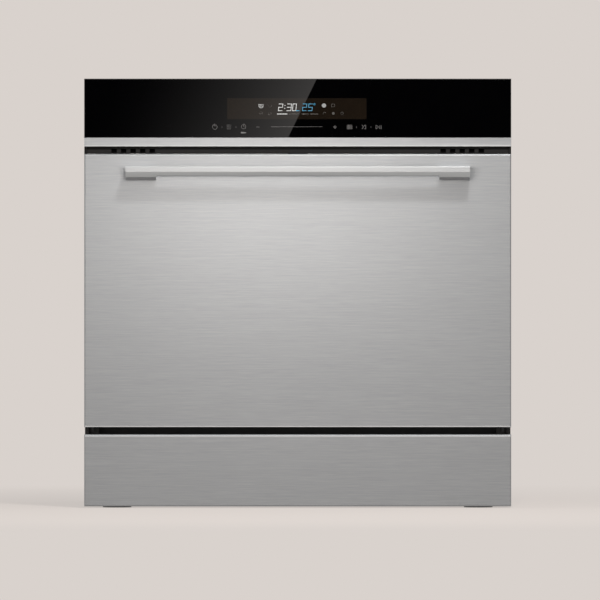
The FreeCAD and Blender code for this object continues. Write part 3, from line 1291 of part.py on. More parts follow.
# Upper spray arm: hangs on the feed tube's hub
upper_blade = spray_arm("upper_arm", "upper_arm_z")
upper_hub = rod("upper_arm_hub", "Z", ("0", "tub_mid", "upper_arm_z"), "arm_hub_radius",
                "spray_arm_thick + upper_hub_rise")
upper_bore = rod("upper_arm_bore", "Z", ("0", "tub_mid", "upper_arm_z + arm_floor - seat_gap"),
                 "post_radius + running_gap", "spray_arm_thick")
upper_neck = rod("upper_arm_neck", "Z", ("0", "tub_mid", "upper_arm_z - overcut"),
                 "post_radius - feed_nut_step + running_gap", "arm_floor + 2 * overcut")
node(cut("upper_arm_body", join("upper_arm_solid", upper_blade, upper_hub),
         join("upper_arm_void", upper_bore, upper_neck)), "upper_spray_arm")

# Telescopic slides: a fixed rail on the tub wall and a middle member on each side
rail = box("fixed_rail", ("tub_half - slide_thick", "tub_half"), ("slide_front", "rack_back"),
           ("slide_z", "slide_z + slide_height"))
node(pair("fixed_rail_pair", rail), "upper_rails")
middle_outside = "tub_half - slide_thick - slide_play"
middle = box("middle_member", (f"{middle_outside} - slide_thick", middle_outside),
             ("slide_front", "rack_back"),
             ("slide_z + middle_inset", "slide_z + slide_height - middle_inset"))
node(pair("middle_pair", middle), "slide_middles")

# Cup shelves: fold up on a pivot along each side of the upper rack
for side, sign in (("left", -1), ("right", 1)):
    start = FreeCAD.Vector(sign * mm("shelf_x"), mm("tub_mid - shelf_length / 2"), mm("shelf_z"))
    axle = Part.makeCylinder(mm("rack_wire") / 2, mm("shelf_length"), start, Y_WAY)
    corner = start - Z_WAY * (mm("rack_wire") / 2)
    leaf = wire_mat(corner, X_WAY * (-sign * mm("shelf_width")), Y_WAY * mm("shelf_length"), Z_WAY)
    node(shaped(side + "_shelf_leaf", leaf.fuse(axle)), side + "_cup_shelf")

# Check every object, then write each sub-part to its own file
doc.recompute()
for item in doc.Objects:
    if "Invalid" in item.State or "Error" in item.State:
        raise RuntimeError(f"{item.Name} failed to build")
for piece in nodes:
    if piece.Shape.isNull() or not piece.Shape.isValid():
        raise RuntimeError(f"{piece.Label} has no valid shape")

os.makedirs("parts", exist_ok=True)
for piece in nodes:
    piece.Shape.exportStep(f"parts/{piece.Label}.step")
print(len(nodes), "sub-parts written")
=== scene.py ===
import bpy
import math
from contextlib import contextmanager
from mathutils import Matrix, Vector


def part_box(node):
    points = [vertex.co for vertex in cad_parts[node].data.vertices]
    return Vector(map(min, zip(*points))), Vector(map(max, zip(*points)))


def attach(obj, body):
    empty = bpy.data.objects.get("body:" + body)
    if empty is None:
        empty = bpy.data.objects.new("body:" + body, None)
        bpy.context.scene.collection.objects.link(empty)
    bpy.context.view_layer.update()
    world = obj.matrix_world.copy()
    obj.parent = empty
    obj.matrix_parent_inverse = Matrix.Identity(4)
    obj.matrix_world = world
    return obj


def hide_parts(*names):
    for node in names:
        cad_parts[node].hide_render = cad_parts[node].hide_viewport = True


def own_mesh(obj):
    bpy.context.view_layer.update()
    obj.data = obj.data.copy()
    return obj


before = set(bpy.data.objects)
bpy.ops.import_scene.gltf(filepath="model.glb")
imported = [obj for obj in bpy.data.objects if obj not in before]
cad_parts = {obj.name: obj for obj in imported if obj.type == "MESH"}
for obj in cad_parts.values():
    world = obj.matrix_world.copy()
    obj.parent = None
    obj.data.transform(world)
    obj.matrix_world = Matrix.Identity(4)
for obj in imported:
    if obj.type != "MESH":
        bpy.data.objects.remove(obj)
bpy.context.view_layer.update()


# Base tray
# Moulded polypropylene tray that carries the pumps and stands on the feet.
# Injection moulded, its surface spark eroded, so it is matt with a very fine grain.

def linear(code):
    """Linear red, green, blue and alpha of an sRGB hex colour."""
    parts = [int(code[i:i + 2], 16) / 255 for i in (0, 2, 4)]
    return [p / 12.92 if p <= 0.04045 else ((p + 0.055) / 1.055) ** 2.4 for p in parts] + [1.0]


def add_node(tree, kind, sockets=None, **settings):
    """Add a shader node; sockets maps an input to a value or to another node's output."""
    made = tree.nodes.new(kind)
    for name, value in settings.items():
        setattr(made, name, value)
    for key, value in (sockets or {}).items():
        if isinstance(value, bpy.types.NodeSocket):
            tree.links.new(value, made.inputs[key])
        else:
            made.inputs[key].default_value = value
    return made


def start_finish(name):
    """An empty node material with its own tree and object coordinates."""
    finish = bpy.data.materials.new(name)
    finish.use_nodes = True
    finish.node_tree.nodes.clear()
    where = add_node(finish.node_tree, "ShaderNodeTexCoord")
    return finish, finish.node_tree, where.outputs["Object"]


def end_finish(tree, kind, sockets):
    """Add a finish's last shader and join it to the material's output."""
    shader = add_node(tree, kind, sockets)
    add_node(tree, "ShaderNodeOutputMaterial", {"Surface": shader.outputs[0]})


def clouded_finish(name, dark, light, cloud, rough, surface, grain=None, bump=None, grain_sets_gloss=False):
    """A finish that drifts between two colours and two roughnesses.

    cloud and grain are the scale and detail of the drift and of a finer relief.
    bump is the relief's strength and its height in metres.
    """
    finish, tree, where = start_finish(name)
    drift = add_node(tree, "ShaderNodeTexNoise", {"Vector": where, "Scale": cloud[0], "Detail": cloud[1]})
    relief = drift
    if grain:
        relief = add_node(tree, "ShaderNodeTexNoise",
                          {"Vector": where, "Scale": grain[0], "Detail": grain[1]})
    tone = add_node(tree, "ShaderNodeMix", {0: drift.outputs["Fac"], 6: linear(dark), 7: linear(light)},
                    data_type="RGBA")
    sockets = {"Base Color": tone.outputs[2], "Roughness": rough, **surface}
    if isinstance(rough, tuple):
        gloss = relief if grain_sets_gloss else drift
        spread = add_node(tree, "ShaderNodeMapRange",
                          {"Value": gloss.outputs["Fac"], 3: rough[0], 4: rough[1]})
        sockets["Roughness"] = spread.outputs[0]
    if bump:
        height = add_node(tree, "ShaderNodeBump",
                          {"Height": relief.outputs["Fac"], "Strength": bump[0], "Distance": bump[1]})
        sockets["Normal"] = height.outputs[0]
    end_finish(tree, "ShaderNodeBsdfPrincipled", sockets)
    return finish


def dress(finish, *names):
    """Give CAD nodes a finish in place of the one they were packed with."""
    for name in names:
        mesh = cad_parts[name].data
        mesh.materials.clear()
        mesh.materials.append(finish)


# Black-grey polypropylene: matt, grain about 0.8 mm, drawn coarser than the real 0.1 mm
tray_plastic = clouded_finish("moulded_polypropylene_black", "232425", "2E2F30", (9.0, 3.0), (0.5, 0.66),
                              {"IOR": 1.49}, (1200.0, 2.0), (0.25, 0.0002), grain_sets_gloss=True)
dress(tray_plastic, "base_tray", "left_front_foot", "right_front_foot", "mains_gland", "sump",
      "drain_pump", "wash_pump", "fan_housing")


# Casing sheets
# Side panels, rear panel and top cover of folded hot-dip galvanised sheet.
# The zinc freezes in flat crystals, so the grey sheet has a faint spangle.

galvanised, tree, where = start_finish("hot_dip_galvanised_sheet")
spangle = add_node(tree, "ShaderNodeTexVoronoi", {"Vector": where, "Scale": 160.0, "Randomness": 1.0})
flow = add_node(tree, "ShaderNodeTexNoise", {"Vector": where, "Scale": 14.0, "Detail": 4.0})
crystal = add_node(tree, "ShaderNodeSeparateColor", {0: spangle.outputs["Color"]})
tone = add_node(tree, "ShaderNodeMix", {0: crystal.outputs[0], 6: linear("A9ACAE"), 7: linear("B2B5B7")},
                data_type="RGBA")
rough = add_node(tree, "ShaderNodeMapRange", {"Value": crystal.outputs[1], 3: 0.42, 4: 0.5})
bump = add_node(tree, "ShaderNodeBump",
                {"Height": flow.outputs["Fac"], "Strength": 0.12, "Distance": 0.0006})
end_finish(tree, "ShaderNodeBsdfPrincipled",
           {"Base Color": tone.outputs[2], "Roughness": rough.outputs[0], "Normal": bump.outputs[0],
            "Metallic": 0.9})
dress(galvanised, "side_panels", "rear_panel", "top_cover")

# Screws, springs, slides and the strike: zinc-plated steel, slightly blue, smooth from the plating bath
zinc_steel = clouded_finish("zinc_plated_steel", "B4B9BE", "C8CBCE", (300.0, 2.0), (0.22, 0.36),
                            {"Metallic": 1.0})
dress(zinc_steel, "casing_screws", "handle_screws", "upper_rails", "slide_middles", "door_strike")


def lone(piece):
    """Select one piece alone and make it the active one."""
    bpy.ops.object.select_all(action="DESELECT")
    piece.select_set(True)
    bpy.context.view_layer.objects.active = piece


def settle(piece):
    """Put a piece's place, turn and size into its mesh."""
    lone(piece)
    bpy.ops.object.transform_apply(location=True, rotation=True, scale=True)


@contextmanager
def edit_mode(whole=False):
    """Work on the active piece's mesh in edit mode, on all of it or on what is picked."""
    bpy.ops.object.mode_set(mode="EDIT")
    if whole:
        bpy.ops.mesh.select_all(action="SELECT")
    yield
    bpy.ops.object.mode_set(mode="OBJECT")


def begin(add, **settings):
    """Add a primitive with nothing else selected."""
    bpy.ops.object.select_all(action="DESELECT")
    add(**settings)
    return bpy.context.object


def block(middle, size):
    """A block, the start of a piece, by its middle and its size."""
    started = begin(bpy.ops.mesh.primitive_cube_add, size=1, location=middle, scale=size)
    settle(started)
    return started


def fuse(name, pieces, finish):
    """Make one or more pieces one object with one name and one finish."""
    bpy.ops.object.select_all(action="DESELECT")
    for piece in pieces:
        piece.select_set(True)
    bpy.context.view_layer.objects.active = pieces[0]
    if len(pieces) > 1:
        bpy.ops.object.join()
    whole = bpy.context.object
    whole.name = name
    settle(whole)
    whole.data.materials.append(finish)
    return whole


def clear_picks(piece, kind):
    """Select nothing of a piece's mesh, in face, edge or vertex mode."""
    lone(piece)
    with edit_mode():
        bpy.ops.mesh.select_mode(type=kind)
        bpy.ops.mesh.select_all(action="DESELECT")


def pick_faces(piece, wanted):
    """Select only the faces whose test is true."""
    clear_picks(piece, "FACE")
    for face in piece.data.polygons:
        face.select = bool(wanted(face))


def press_in(*steps):
    """Inset the picked faces of the active piece by steps of width and height."""
    with edit_mode():
        for inward, rise in steps:
            bpy.ops.mesh.inset(thickness=inward, depth=rise)


def bent_wire(points, thick, bend, closed=False):
    """A round wire through the points, its corners bent to one radius."""
    begin(bpy.ops.mesh.primitive_plane_add, size=0.001, location=points[0])
    with edit_mode():
        bpy.ops.mesh.select_mode(type="VERT")
        bpy.ops.mesh.select_all(action="SELECT")
        bpy.ops.mesh.merge(type="CENTER")
        for start, end in zip(points, points[1:]):
            bpy.ops.mesh.extrude_region_move(TRANSFORM_OT_translate={"value": Vector(end) - Vector(start)})
        bpy.ops.mesh.select_all(action="SELECT")
        if closed:
            bpy.ops.mesh.remove_doubles(threshold=0.00005)
        if bend:
            bpy.ops.mesh.bevel(offset=bend, segments=4, affect="VERTICES")
    bpy.ops.object.convert(target="CURVE")
    wire = bpy.context.object
    wire.data.bevel_depth = thick / 2
    wire.data.bevel_resolution = 2
    wire.data.use_fill_caps = True
    bpy.ops.object.convert(target="MESH")
    wire = bpy.context.object
    bpy.ops.object.transform_apply(location=True, rotation=True, scale=True)
    bpy.ops.object.shade_smooth()
    return wire


def pressed_bead(corners, wide, tall, across, closed=True):
    """A rounded ridge pressed into a sheet: a bent round, flattened across the sheet (axis number)."""
    bead = bent_wire(corners, wide, 0.02 if closed else 0, closed)
    squeeze = [1, 1, 1]
    squeeze[across] = 2 * tall / wide
    lone(bead)
    with edit_mode(whole=True):
        bpy.ops.transform.resize(value=squeeze, center_override=corners[0])
    return bead


def frame_corners(across, level, left, right, start, end):
    """Corners of a closed frame that faces an axis (by number), from the middle of its start side."""
    middle = (left + right) / 2
    flat = [(middle, start), (left, start), (left, end), (right, end), (right, start), (middle, start)]
    return [place[:across] + (level,) + place[across:] for place in flat]


# Ridges pressed outwards stiffen the side panels and the top cover
SIDE_FACE, COVER_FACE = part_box("side_panels")[1].x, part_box("top_cover")[1].z
NEAR, FAR, RIDGE_LOW, RIDGE_HIGH, COVER_REACH = -0.105, 0.225, 0.130, 0.550, 0.235
RIDGE_WIDE, SIDE_RISE, COVER_RISE, RIB_INSET = 0.007, 0.0011, 0.0008, 0.045
ridges = []
for x in (-SIDE_FACE, SIDE_FACE):
    corners = frame_corners(0, x, NEAR, FAR, RIDGE_HIGH, RIDGE_LOW)
    ridges.append(pressed_bead(corners, RIDGE_WIDE, SIDE_RISE, 0))
    for y in (0.005, 0.06, 0.115):
        ends = [(x, y, RIDGE_LOW + RIB_INSET), (x, y, RIDGE_HIGH - RIB_INSET)]
        ridges.append(pressed_bead(ends, RIDGE_WIDE, SIDE_RISE, 0, False))
side_ridges = fuse("side_panel_ridges", ridges, galvanised)
corners = frame_corners(2, COVER_FACE, -COVER_REACH, COVER_REACH, NEAR, FAR)
ridges = [pressed_bead(corners, RIDGE_WIDE, COVER_RISE, 2)]
for x in (-0.12, 0, 0.12):
    ends = [(x, NEAR + RIB_INSET, COVER_FACE), (x, FAR - RIB_INSET, COVER_FACE)]
    ridges.append(pressed_bead(ends, RIDGE_WIDE, COVER_RISE, 2, False))
cover_ridges = fuse("top_cover_ridges", ridges, galvanised)
for ridge in (side_ridges, cover_ridges):
    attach(ridge, "root")

# The rear panel has a sunk frame pressed round its middle
rear_low, rear_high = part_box("rear_panel")
rear_sheet = block((rear_low + rear_high) / 2, rear_high - rear_low)
pick_faces(rear_sheet, lambda face: face.normal.y > 0.9)
press_in((0.045, 0), (0.004, -0.0008), (0.03, 0), (0.004, 0.0007))
fuse("rear_panel_pressed", [rear_sheet], galvanised)
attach(rear_sheet, "root")
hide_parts("rear_panel")


# Door hinges
# Pressed steel brackets, channels and arms, coated black by dipping, one set on each side.
# Two coil springs of zinc-plated wire push on the plungers and take the door's weight.

black_coat = clouded_finish("dip_coated_black_steel", "0E0E0F", "161617", (120.0, 3.0), (0.42, 0.55),
                            {"IOR": 1.5})
dress(black_coat, "hinge_brackets", "hinge_channels", "hinge_arms", "hinge_plungers")


def moved_copy(piece, step):
    """A copy of a piece with its own mesh, moved by a step."""
    twin = piece.copy()
    twin.data = piece.data.copy()
    bpy.context.scene.collection.objects.link(twin)
    lone(twin)
    with edit_mode(whole=True):
        bpy.ops.transform.translate(value=step)
    return twin


def soften(width, segments=2, whole=True):
    """Bevel the edges of the active piece, all of them or those that are picked."""
    with edit_mode(whole):
        bpy.ops.mesh.bevel(offset=width, segments=segments, affect="EDGES")


# Coils: 2 mm wire, 22 turns
spring_low, spring_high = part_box("hinge_springs")
SPRING_WIRE, TURNS, SPRING_MOVE = 0.002, 22, 0.0295
spring_long = spring_high.y - spring_low.y
coil_radius = (spring_high.z - spring_low.z - SPRING_WIRE) / 2
coil = begin(bpy.ops.mesh.primitive_circle_add, vertices=8, radius=SPRING_WIRE / 2, location=(0, 0, 0))
with edit_mode(whole=True):
    bpy.ops.transform.translate(value=(coil_radius, 0, 0))
winding = coil.modifiers.new("winding", "SCREW")
winding.axis = "Y"
winding.screw_offset = (spring_long - SPRING_WIRE) / TURNS
winding.iterations = TURNS
winding.steps = winding.render_steps = 14
bpy.ops.object.modifier_apply(modifier="winding")
with edit_mode():
    bpy.ops.mesh.select_mode(type="VERT")
    bpy.ops.mesh.select_all(action="SELECT")
    bpy.ops.mesh.remove_doubles(threshold=0.00001)
    bpy.ops.mesh.fill_holes(sides=12)
    bpy.ops.mesh.select_all(action="SELECT")
    bpy.ops.mesh.normals_make_consistent(inside=False)
bpy.ops.object.shade_smooth_by_angle(angle=math.radians(60))
coil_level = (spring_low.z + spring_high.z) / 2
coil_aside = spring_high.x - (spring_high.z - spring_low.z) / 2
coils = [moved_copy(coil, (hand * coil_aside, spring_low.y + SPRING_WIRE / 2, coil_level))
         for hand in (-1, 1)]
bpy.data.objects.remove(coil)
spring_coils = fuse("hinge_spring_coils", coils, zinc_steel)
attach(spring_coils, "root")
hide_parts("hinge_springs")
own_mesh(spring_coils)

# A black clip on each side panel's front edge closes the end of the gap under the door
CLIP_ASIDE, CLIP_AHEAD, CLIP_LEVEL, CLIP_SIZE = 0.2941, -0.180, 0.1066, (0.0064, 0.020, 0.0098)
clips = []
for hand in (-1, 1):
    clips.append(block((hand * CLIP_ASIDE, CLIP_AHEAD, CLIP_LEVEL), CLIP_SIZE))
    soften(0.0006)
gap_clips = fuse("gap_end_clips", clips, tray_plastic)
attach(gap_clips, "root")


# Tub
# Wash tub of cold-rolled stainless sheet, deep drawn and seam welded, with a front flange.
# Its mill finish is a soft satin with no direction.

tub_steel = clouded_finish("stainless_mill_finish", "B3B3B1", "C2C2C0", (45.0, 5.0), (0.24, 0.36),
                           {"Metallic": 1.0}, (900.0, 1.0), (0.06, 0.0001))
dress(tub_steel, "tub_shell", "tub_floor", "door_liner")

# Filter plate: the same sheet punched with round holes, drawn 2 mm wide at 4 mm pitch to show
punched_steel, tree, where = start_finish("punched_stainless_sheet")
holes = add_node(tree, "ShaderNodeTexVoronoi", {"Vector": where, "Scale": 250.0, "Randomness": 0.0},
                 voronoi_dimensions="2D")
# Painted shade: the holes are drawn as dark, non-metal dots, standing in for the dark view through them
land = add_node(tree, "ShaderNodeMath", {0: holes.outputs["Distance"], 1: 0.27}, operation="GREATER_THAN")
tone = add_node(tree, "ShaderNodeMix", {0: land.outputs[0], 6: linear("1E1E1D"), 7: linear("BCBCBA")},
                data_type="RGBA")
end_finish(tree, "ShaderNodeBsdfPrincipled",
           {"Base Color": tone.outputs[2], "Roughness": 0.3, "Metallic": land.outputs[0]})
dress(punched_steel, "filter_plate")

# A ridge pressed round the door liner's sunk middle keeps the sheet flat
LINER_FLOOR, LINER_REACH, LINER_LOW, LINER_HIGH = -0.185, 0.212, 0.172, 0.444
PRESSING_WIDE, PRESSING_RISE = 0.008, 0.0014
corners = frame_corners(1, LINER_FLOOR, -LINER_REACH, LINER_REACH, LINER_HIGH, LINER_LOW)
liner_ridge = pressed_bead(corners, PRESSING_WIDE, PRESSING_RISE, 1)
fuse("door_liner_ridge", [liner_ridge], tub_steel)
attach(liner_ridge, "door")

# Door seal: extruded black EPDM rubber, matt, with a faint bloom
seal_rubber = clouded_finish("extruded_rubber", "1B1C1D", "2A2B2C", (60.0, 4.0), (0.62, 0.8), {"IOR": 1.52})
dress(seal_rubber, "tub_gasket")


def pick_edges(piece, wanted):
    """Select only the edges whose test on their two ends is true."""
    clear_picks(piece, "EDGE")
    corners = piece.data.vertices
    for edge in piece.data.edges:
        edge.select = bool(wanted(*(corners[i].co for i in edge.vertices)))


# The drawn tub has rounded corners, which lie on the flat walls as one thin skin
TUB_HALF, TUB_FRONT, TUB_BACK, TUB_LEDGE, TUB_TOP, TUB_CORNER = 0.2725, -0.170, 0.235, 0.1581, 0.476, 0.016
skin = block((0, (TUB_FRONT + TUB_BACK) / 2, (TUB_LEDGE + TUB_TOP) / 2),
             (2 * TUB_HALF - 0.0008, TUB_BACK - TUB_FRONT - 0.0006, TUB_TOP - TUB_LEDGE - 0.0008))
pick_faces(skin, lambda face: face.normal.y < -0.9 or face.normal.z < -0.9)
with edit_mode():
    bpy.ops.mesh.delete(type="FACE")
pick_edges(skin, lambda a, b: a.z > TUB_TOP - 0.01 and b.z > TUB_TOP - 0.01 and max(a.y, b.y) > 0
           or a.y > 0 and b.y > 0)
with edit_mode():
    bpy.ops.mesh.bevel(offset=TUB_CORNER, segments=6, affect="EDGES")
    bpy.ops.mesh.select_all(action="SELECT")
    bpy.ops.mesh.flip_normals()
pick_edges(skin, lambda a, b: max(a.y, b.y) < TUB_FRONT + 0.001)
with edit_mode():
    bpy.ops.mesh.extrude_region_move(TRANSFORM_OT_translate={"value": (0, -0.0006, 0)})
    bpy.ops.mesh.extrude_region_move()
    bpy.ops.transform.resize(value=(1.024, 1, 1.03), center_override=(0, TUB_FRONT, TUB_LEDGE))
lone(skin)
bpy.ops.object.shade_smooth_by_angle(angle=math.radians(35))
fuse("tub_rounded_corners", [skin], tub_steel)
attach(skin, "root")

# Shallow ridges pressed inwards stiffen the tub's back, beside the riser, and its sides under the rails
FRAME_INNER, FRAME_OUTER, FRAME_LOW, FRAME_HIGH = 0.055, 0.225, 0.205, 0.445
RUN_NEAR, RUN_FAR = -0.11, 0.19
tub_ridges = []
for hand in (-1, 1):
    corners = frame_corners(1, TUB_BACK, hand * FRAME_INNER, hand * FRAME_OUTER, FRAME_HIGH, FRAME_LOW)
    tub_ridges.append(pressed_bead(corners, PRESSING_WIDE, PRESSING_RISE, 1))
    wall = hand * TUB_HALF
    for z in (0.225, 0.275, 0.325):
        ends = [(wall, RUN_NEAR, z), (wall, RUN_FAR, z)]
        tub_ridges.append(pressed_bead(ends, PRESSING_WIDE, PRESSING_RISE, 0, False))
tub_pressings = fuse("tub_wall_ridges", tub_ridges, tub_steel)
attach(tub_pressings, "root")


# Plastic fittings in the tub
# Spray arms, feed parts, dispenser and softener, moulded in grey polypropylene.
# Semi-matt from the mould, with slow flow marks that show as a slight change of tone and gloss.

light_plastic = clouded_finish("moulded_polypropylene_light_grey", "B9BCBE", "C5C8CA", (30.0, 3.0),
                               (0.36, 0.48), {"IOR": 1.49}, (1400.0, 1.0), (0.12, 0.0001))
dress(light_plastic, "lower_spray_arm", "upper_spray_arm", "feed_riser", "upper_feed", "dispenser_lid",
      "air_break", "water_softener", "inlet_valve")

grey_plastic = clouded_finish("moulded_polypropylene_mid_grey", "6E7276", "7B7F83", (34.0, 3.0),
                              (0.38, 0.5), {"IOR": 1.49}, (1400.0, 1.0), (0.12, 0.0001))
dress(grey_plastic, "filter_cylinder", "dispenser_body", "rinse_aid_cap", "dispenser_button", "salt_cap",
      "cutlery_basket", "front_wheels", "rear_wheels", "wash_impeller", "fan_rotor")

# Spray nozzles: oval rims with a sunk slot, five on each side of an arm
ARM_MIDDLE, NOZZLE_RADIUS, NOZZLE_TALL = 0.0325, 0.0042, 0.0012
for name, body, level in (("lower_arm_nozzles", "lower_arm", 0.1461),
                          ("upper_arm_nozzles", "upper_arm", 0.3381)):
    nozzle = begin(bpy.ops.mesh.primitive_cylinder_add, vertices=20, radius=NOZZLE_RADIUS,
                   depth=NOZZLE_TALL, location=(0, ARM_MIDDLE, level + NOZZLE_TALL / 2 - 0.0002))
    nozzle.scale = (1, 0.7, 1)
    settle(nozzle)
    pick_faces(nozzle, lambda face: face.normal.z > 0.9)
    soften(0.0003, whole=False)
    pick_faces(nozzle, lambda face: face.normal.z > 0.99 and face.center.z > level)
    press_in((0.0009, 0), (0.0002, -0.0008))
    rims = []
    for spot, reach in enumerate((0.042, 0.074, 0.106, 0.138, 0.168)):
        for hand in (-1, 1):
            rims.append(moved_copy(nozzle, (hand * reach, hand * (0.005 if spot % 2 else -0.005), 0)))
    bpy.data.objects.remove(nozzle)
    nozzles = fuse(name, rims, grey_plastic)
    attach(nozzles, body)

# The detergent lid has grip ribs by the edge that is pushed
lid_low, lid_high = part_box("dispenser_lid")
RIB_THICK, RIB_GAP, RIB_COUNT = 0.0012, 0.0026, 6
ribs = []
for i in range(RIB_COUNT):
    x = lid_high.x - 0.004 - i * RIB_GAP
    ends = [(x, lid_high.y - 0.0001, lid_low.z + 0.012), (x, lid_high.y - 0.0001, lid_high.z - 0.012)]
    ribs.append(bent_wire(ends, RIB_THICK, 0))
lid_ribs = fuse("dispenser_lid_ribs", ribs, light_plastic)
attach(lid_ribs, "detergent_lid")


# Lower rack
# Basket of bent and welded steel wire, dipped in grey nylon, on four plastic wheels.
# The coat is thick and glossy, so the welds and wire ends are rounded by it.

coated_wire = clouded_finish("nylon_coated_wire", "8C9094", "9CA0A4", (120.0, 3.0), (0.26, 0.4),
                             {"IOR": 1.53}, bump=(0.15, 0.0003))

WIRE, RIM_WIRE, WIRE_GAP, WIRE_BEND, RIM_BEND, WIRE_INSET = 0.003, 0.0046, 0.038, 0.012, 0.016, 0.002
RACK_BACK = 0.222


def wire_basket(half, front_low, front_top, low, top):
    """All wires of a rack: bent runs both ways, a middle ring and a thicker rim."""
    level, high = low + 0.0016, top - 0.0024
    side, back = half - WIRE_INSET, RACK_BACK - WIRE_INSET
    near, near_top = front_low + WIRE_INSET, front_top + WIRE_INSET
    first = bent_wire([(-side, near_top, high), (-side, near, level), (-side, back, level),
                       (-side, back, high)], WIRE, WIRE_BEND)
    count = round(2 * side / WIRE_GAP)
    wires = [first] + [moved_copy(first, (2 * side * i / count, 0, 0)) for i in range(1, count + 1)]
    cross_level = level + 0.0012
    cross = bent_wire([(-side, near, high), (-side, near, cross_level), (side, near, cross_level),
                       (side, near, high)], WIRE, WIRE_BEND)
    length = RACK_BACK - front_low - 2 * WIRE_INSET
    count = round(length / WIRE_GAP)
    wires += [cross] + [moved_copy(cross, (0, length * i / count, 0)) for i in range(1, count + 1)]
    for height, thick in ((high, RIM_WIRE), ((level + high) / 2, WIRE)):
        lean = front_low + (front_top - front_low) * (height - level) / (high - level) + WIRE_INSET
        wires.append(bent_wire(frame_corners(2, height, -side, side, back, lean), thick, RIM_BEND, True))
    return wires


def turned_disc(axis_start, radius, thick, sink):
    """A round moulding along X with a rounded rim and a sunk face on each side."""
    middle = axis_start[0] + thick / 2
    disc = begin(bpy.ops.mesh.primitive_cylinder_add, vertices=40, radius=radius, depth=thick,
                 rotation=(0, math.pi / 2, 0), location=(middle, *axis_start[1:]))
    settle(disc)
    pick_faces(disc, lambda face: abs(face.normal.x) > 0.9)
    soften(thick * 0.12, whole=False)
    for face_side in (1, -1):
        pick_faces(disc, lambda face: face.normal.x * face_side > 0.99
                   and (face.center.x - middle) * face_side > 0)
        press_in((radius * 0.22, 0), (radius * 0.05, -sink), (radius * 0.3, 0), (radius * 0.05, sink * 0.9))
    lone(disc)
    bpy.ops.object.shade_smooth_by_angle(angle=math.radians(40))
    return disc


LOWER_HALF, LOWER_FLOOR, LOWER_TOP = 0.250, 0.1681, 0.2681
WHEEL_LEVEL, WHEEL_PLACES = 0.1734, (-0.050, 0.150)
rack_parts = wire_basket(LOWER_HALF, -0.140, -0.167, LOWER_FLOOR, LOWER_TOP)
for hand in (-1, 1):
    for place in WHEEL_PLACES:
        for reach, radius, start in ((0.0025, 0.007, 0.0), (0.0128, 0.003, 0.0), (0.0015, 0.005, 0.0113)):
            middle = (hand * (LOWER_HALF + start + reach / 2), place, WHEEL_LEVEL)
            boss = begin(bpy.ops.mesh.primitive_cylinder_add, vertices=28, radius=radius, depth=reach,
                         rotation=(0, math.pi / 2, 0), location=middle)
            settle(boss)
            pick_faces(boss, lambda face: abs(face.normal.x) > 0.9)
            soften(0.0004, whole=False)
            rack_parts.append(boss)
lower_wires = fuse("lower_rack_wires", rack_parts, coated_wire)
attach(lower_wires, "lower_basket")
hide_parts("lower_rack")

# Wheels: moulded, each with a sunk web and a hub
WHEEL_RADIUS, WHEEL_THICK, WEB_SINK, WHEEL_STARTS = 0.015, 0.008, 0.0016, (0.2528, -0.2608)
for which, place, body in (("front_wheels", WHEEL_PLACES[0], "front_rollers"),
                           ("rear_wheels", WHEEL_PLACES[1], "rear_rollers")):
    wheels = [turned_disc((x, place, WHEEL_LEVEL), WHEEL_RADIUS, WHEEL_THICK, WEB_SINK)
              for x in WHEEL_STARTS]
    both_wheels = fuse(which + "_moulded", wheels, grey_plastic)
    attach(both_wheels, body)
    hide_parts(which)

# Tine rows: bent wire tines on an axle wire, which fold down together
TINE_LEVEL, TINE_TOP, TINE_LEFT, TINE_RUN, TINE_GAP = 0.1739, 0.2539, -0.242, 0.375, 0.024
for which, place, body in (("front_tines", -0.029, "front_tine_row"),
                           ("rear_tines", 0.081, "rear_tine_row")):
    axle = bent_wire([(TINE_LEFT, place, TINE_LEVEL), (TINE_LEFT + TINE_RUN, place, TINE_LEVEL)], WIRE, 0)
    first_x = TINE_LEFT + TINE_GAP / 2
    tine = bent_wire([(first_x, place, TINE_LEVEL), (first_x, place, TINE_TOP - 0.0012)], WIRE, 0)
    pick_faces(tine, lambda face: face.normal.z > 0.9)
    press_in((0.0006, 0.0008))
    row = [axle, tine] + [moved_copy(tine, (TINE_GAP * i, 0, 0)) for i in range(1, 15)]
    comb = fuse(which + "_wires", row, coated_wire)
    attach(comb, body)
    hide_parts(which)


# Cutlery basket
# Moulded polypropylene basket with slotted walls, open on top, and a carrying handle.
# The slots are drawn through the wall, so the wall is a lattice of thin ribs.

def slotted_wall(place, turn, wide, tall, cells_wide, cells_tall, rib):
    """An upright or flat wall with a grid of openings between thin ribs."""
    wall = begin(bpy.ops.mesh.primitive_grid_add, x_subdivisions=cells_wide, y_subdivisions=cells_tall,
                 size=1, location=(0, 0, 0))
    wall.scale = (wide, tall, 1)
    settle(wall)
    with edit_mode(whole=True):
        bpy.ops.mesh.inset(thickness=rib / 2, use_individual=True)
        bpy.ops.mesh.delete(type="FACE")
    shell = wall.modifiers.new("wall_thickness", "SOLIDIFY")
    shell.thickness, shell.offset = WALL_THICK, 0
    bpy.ops.object.modifier_apply(modifier=shell.name)
    wall.rotation_euler = turn
    wall.location = place
    settle(wall)
    return wall


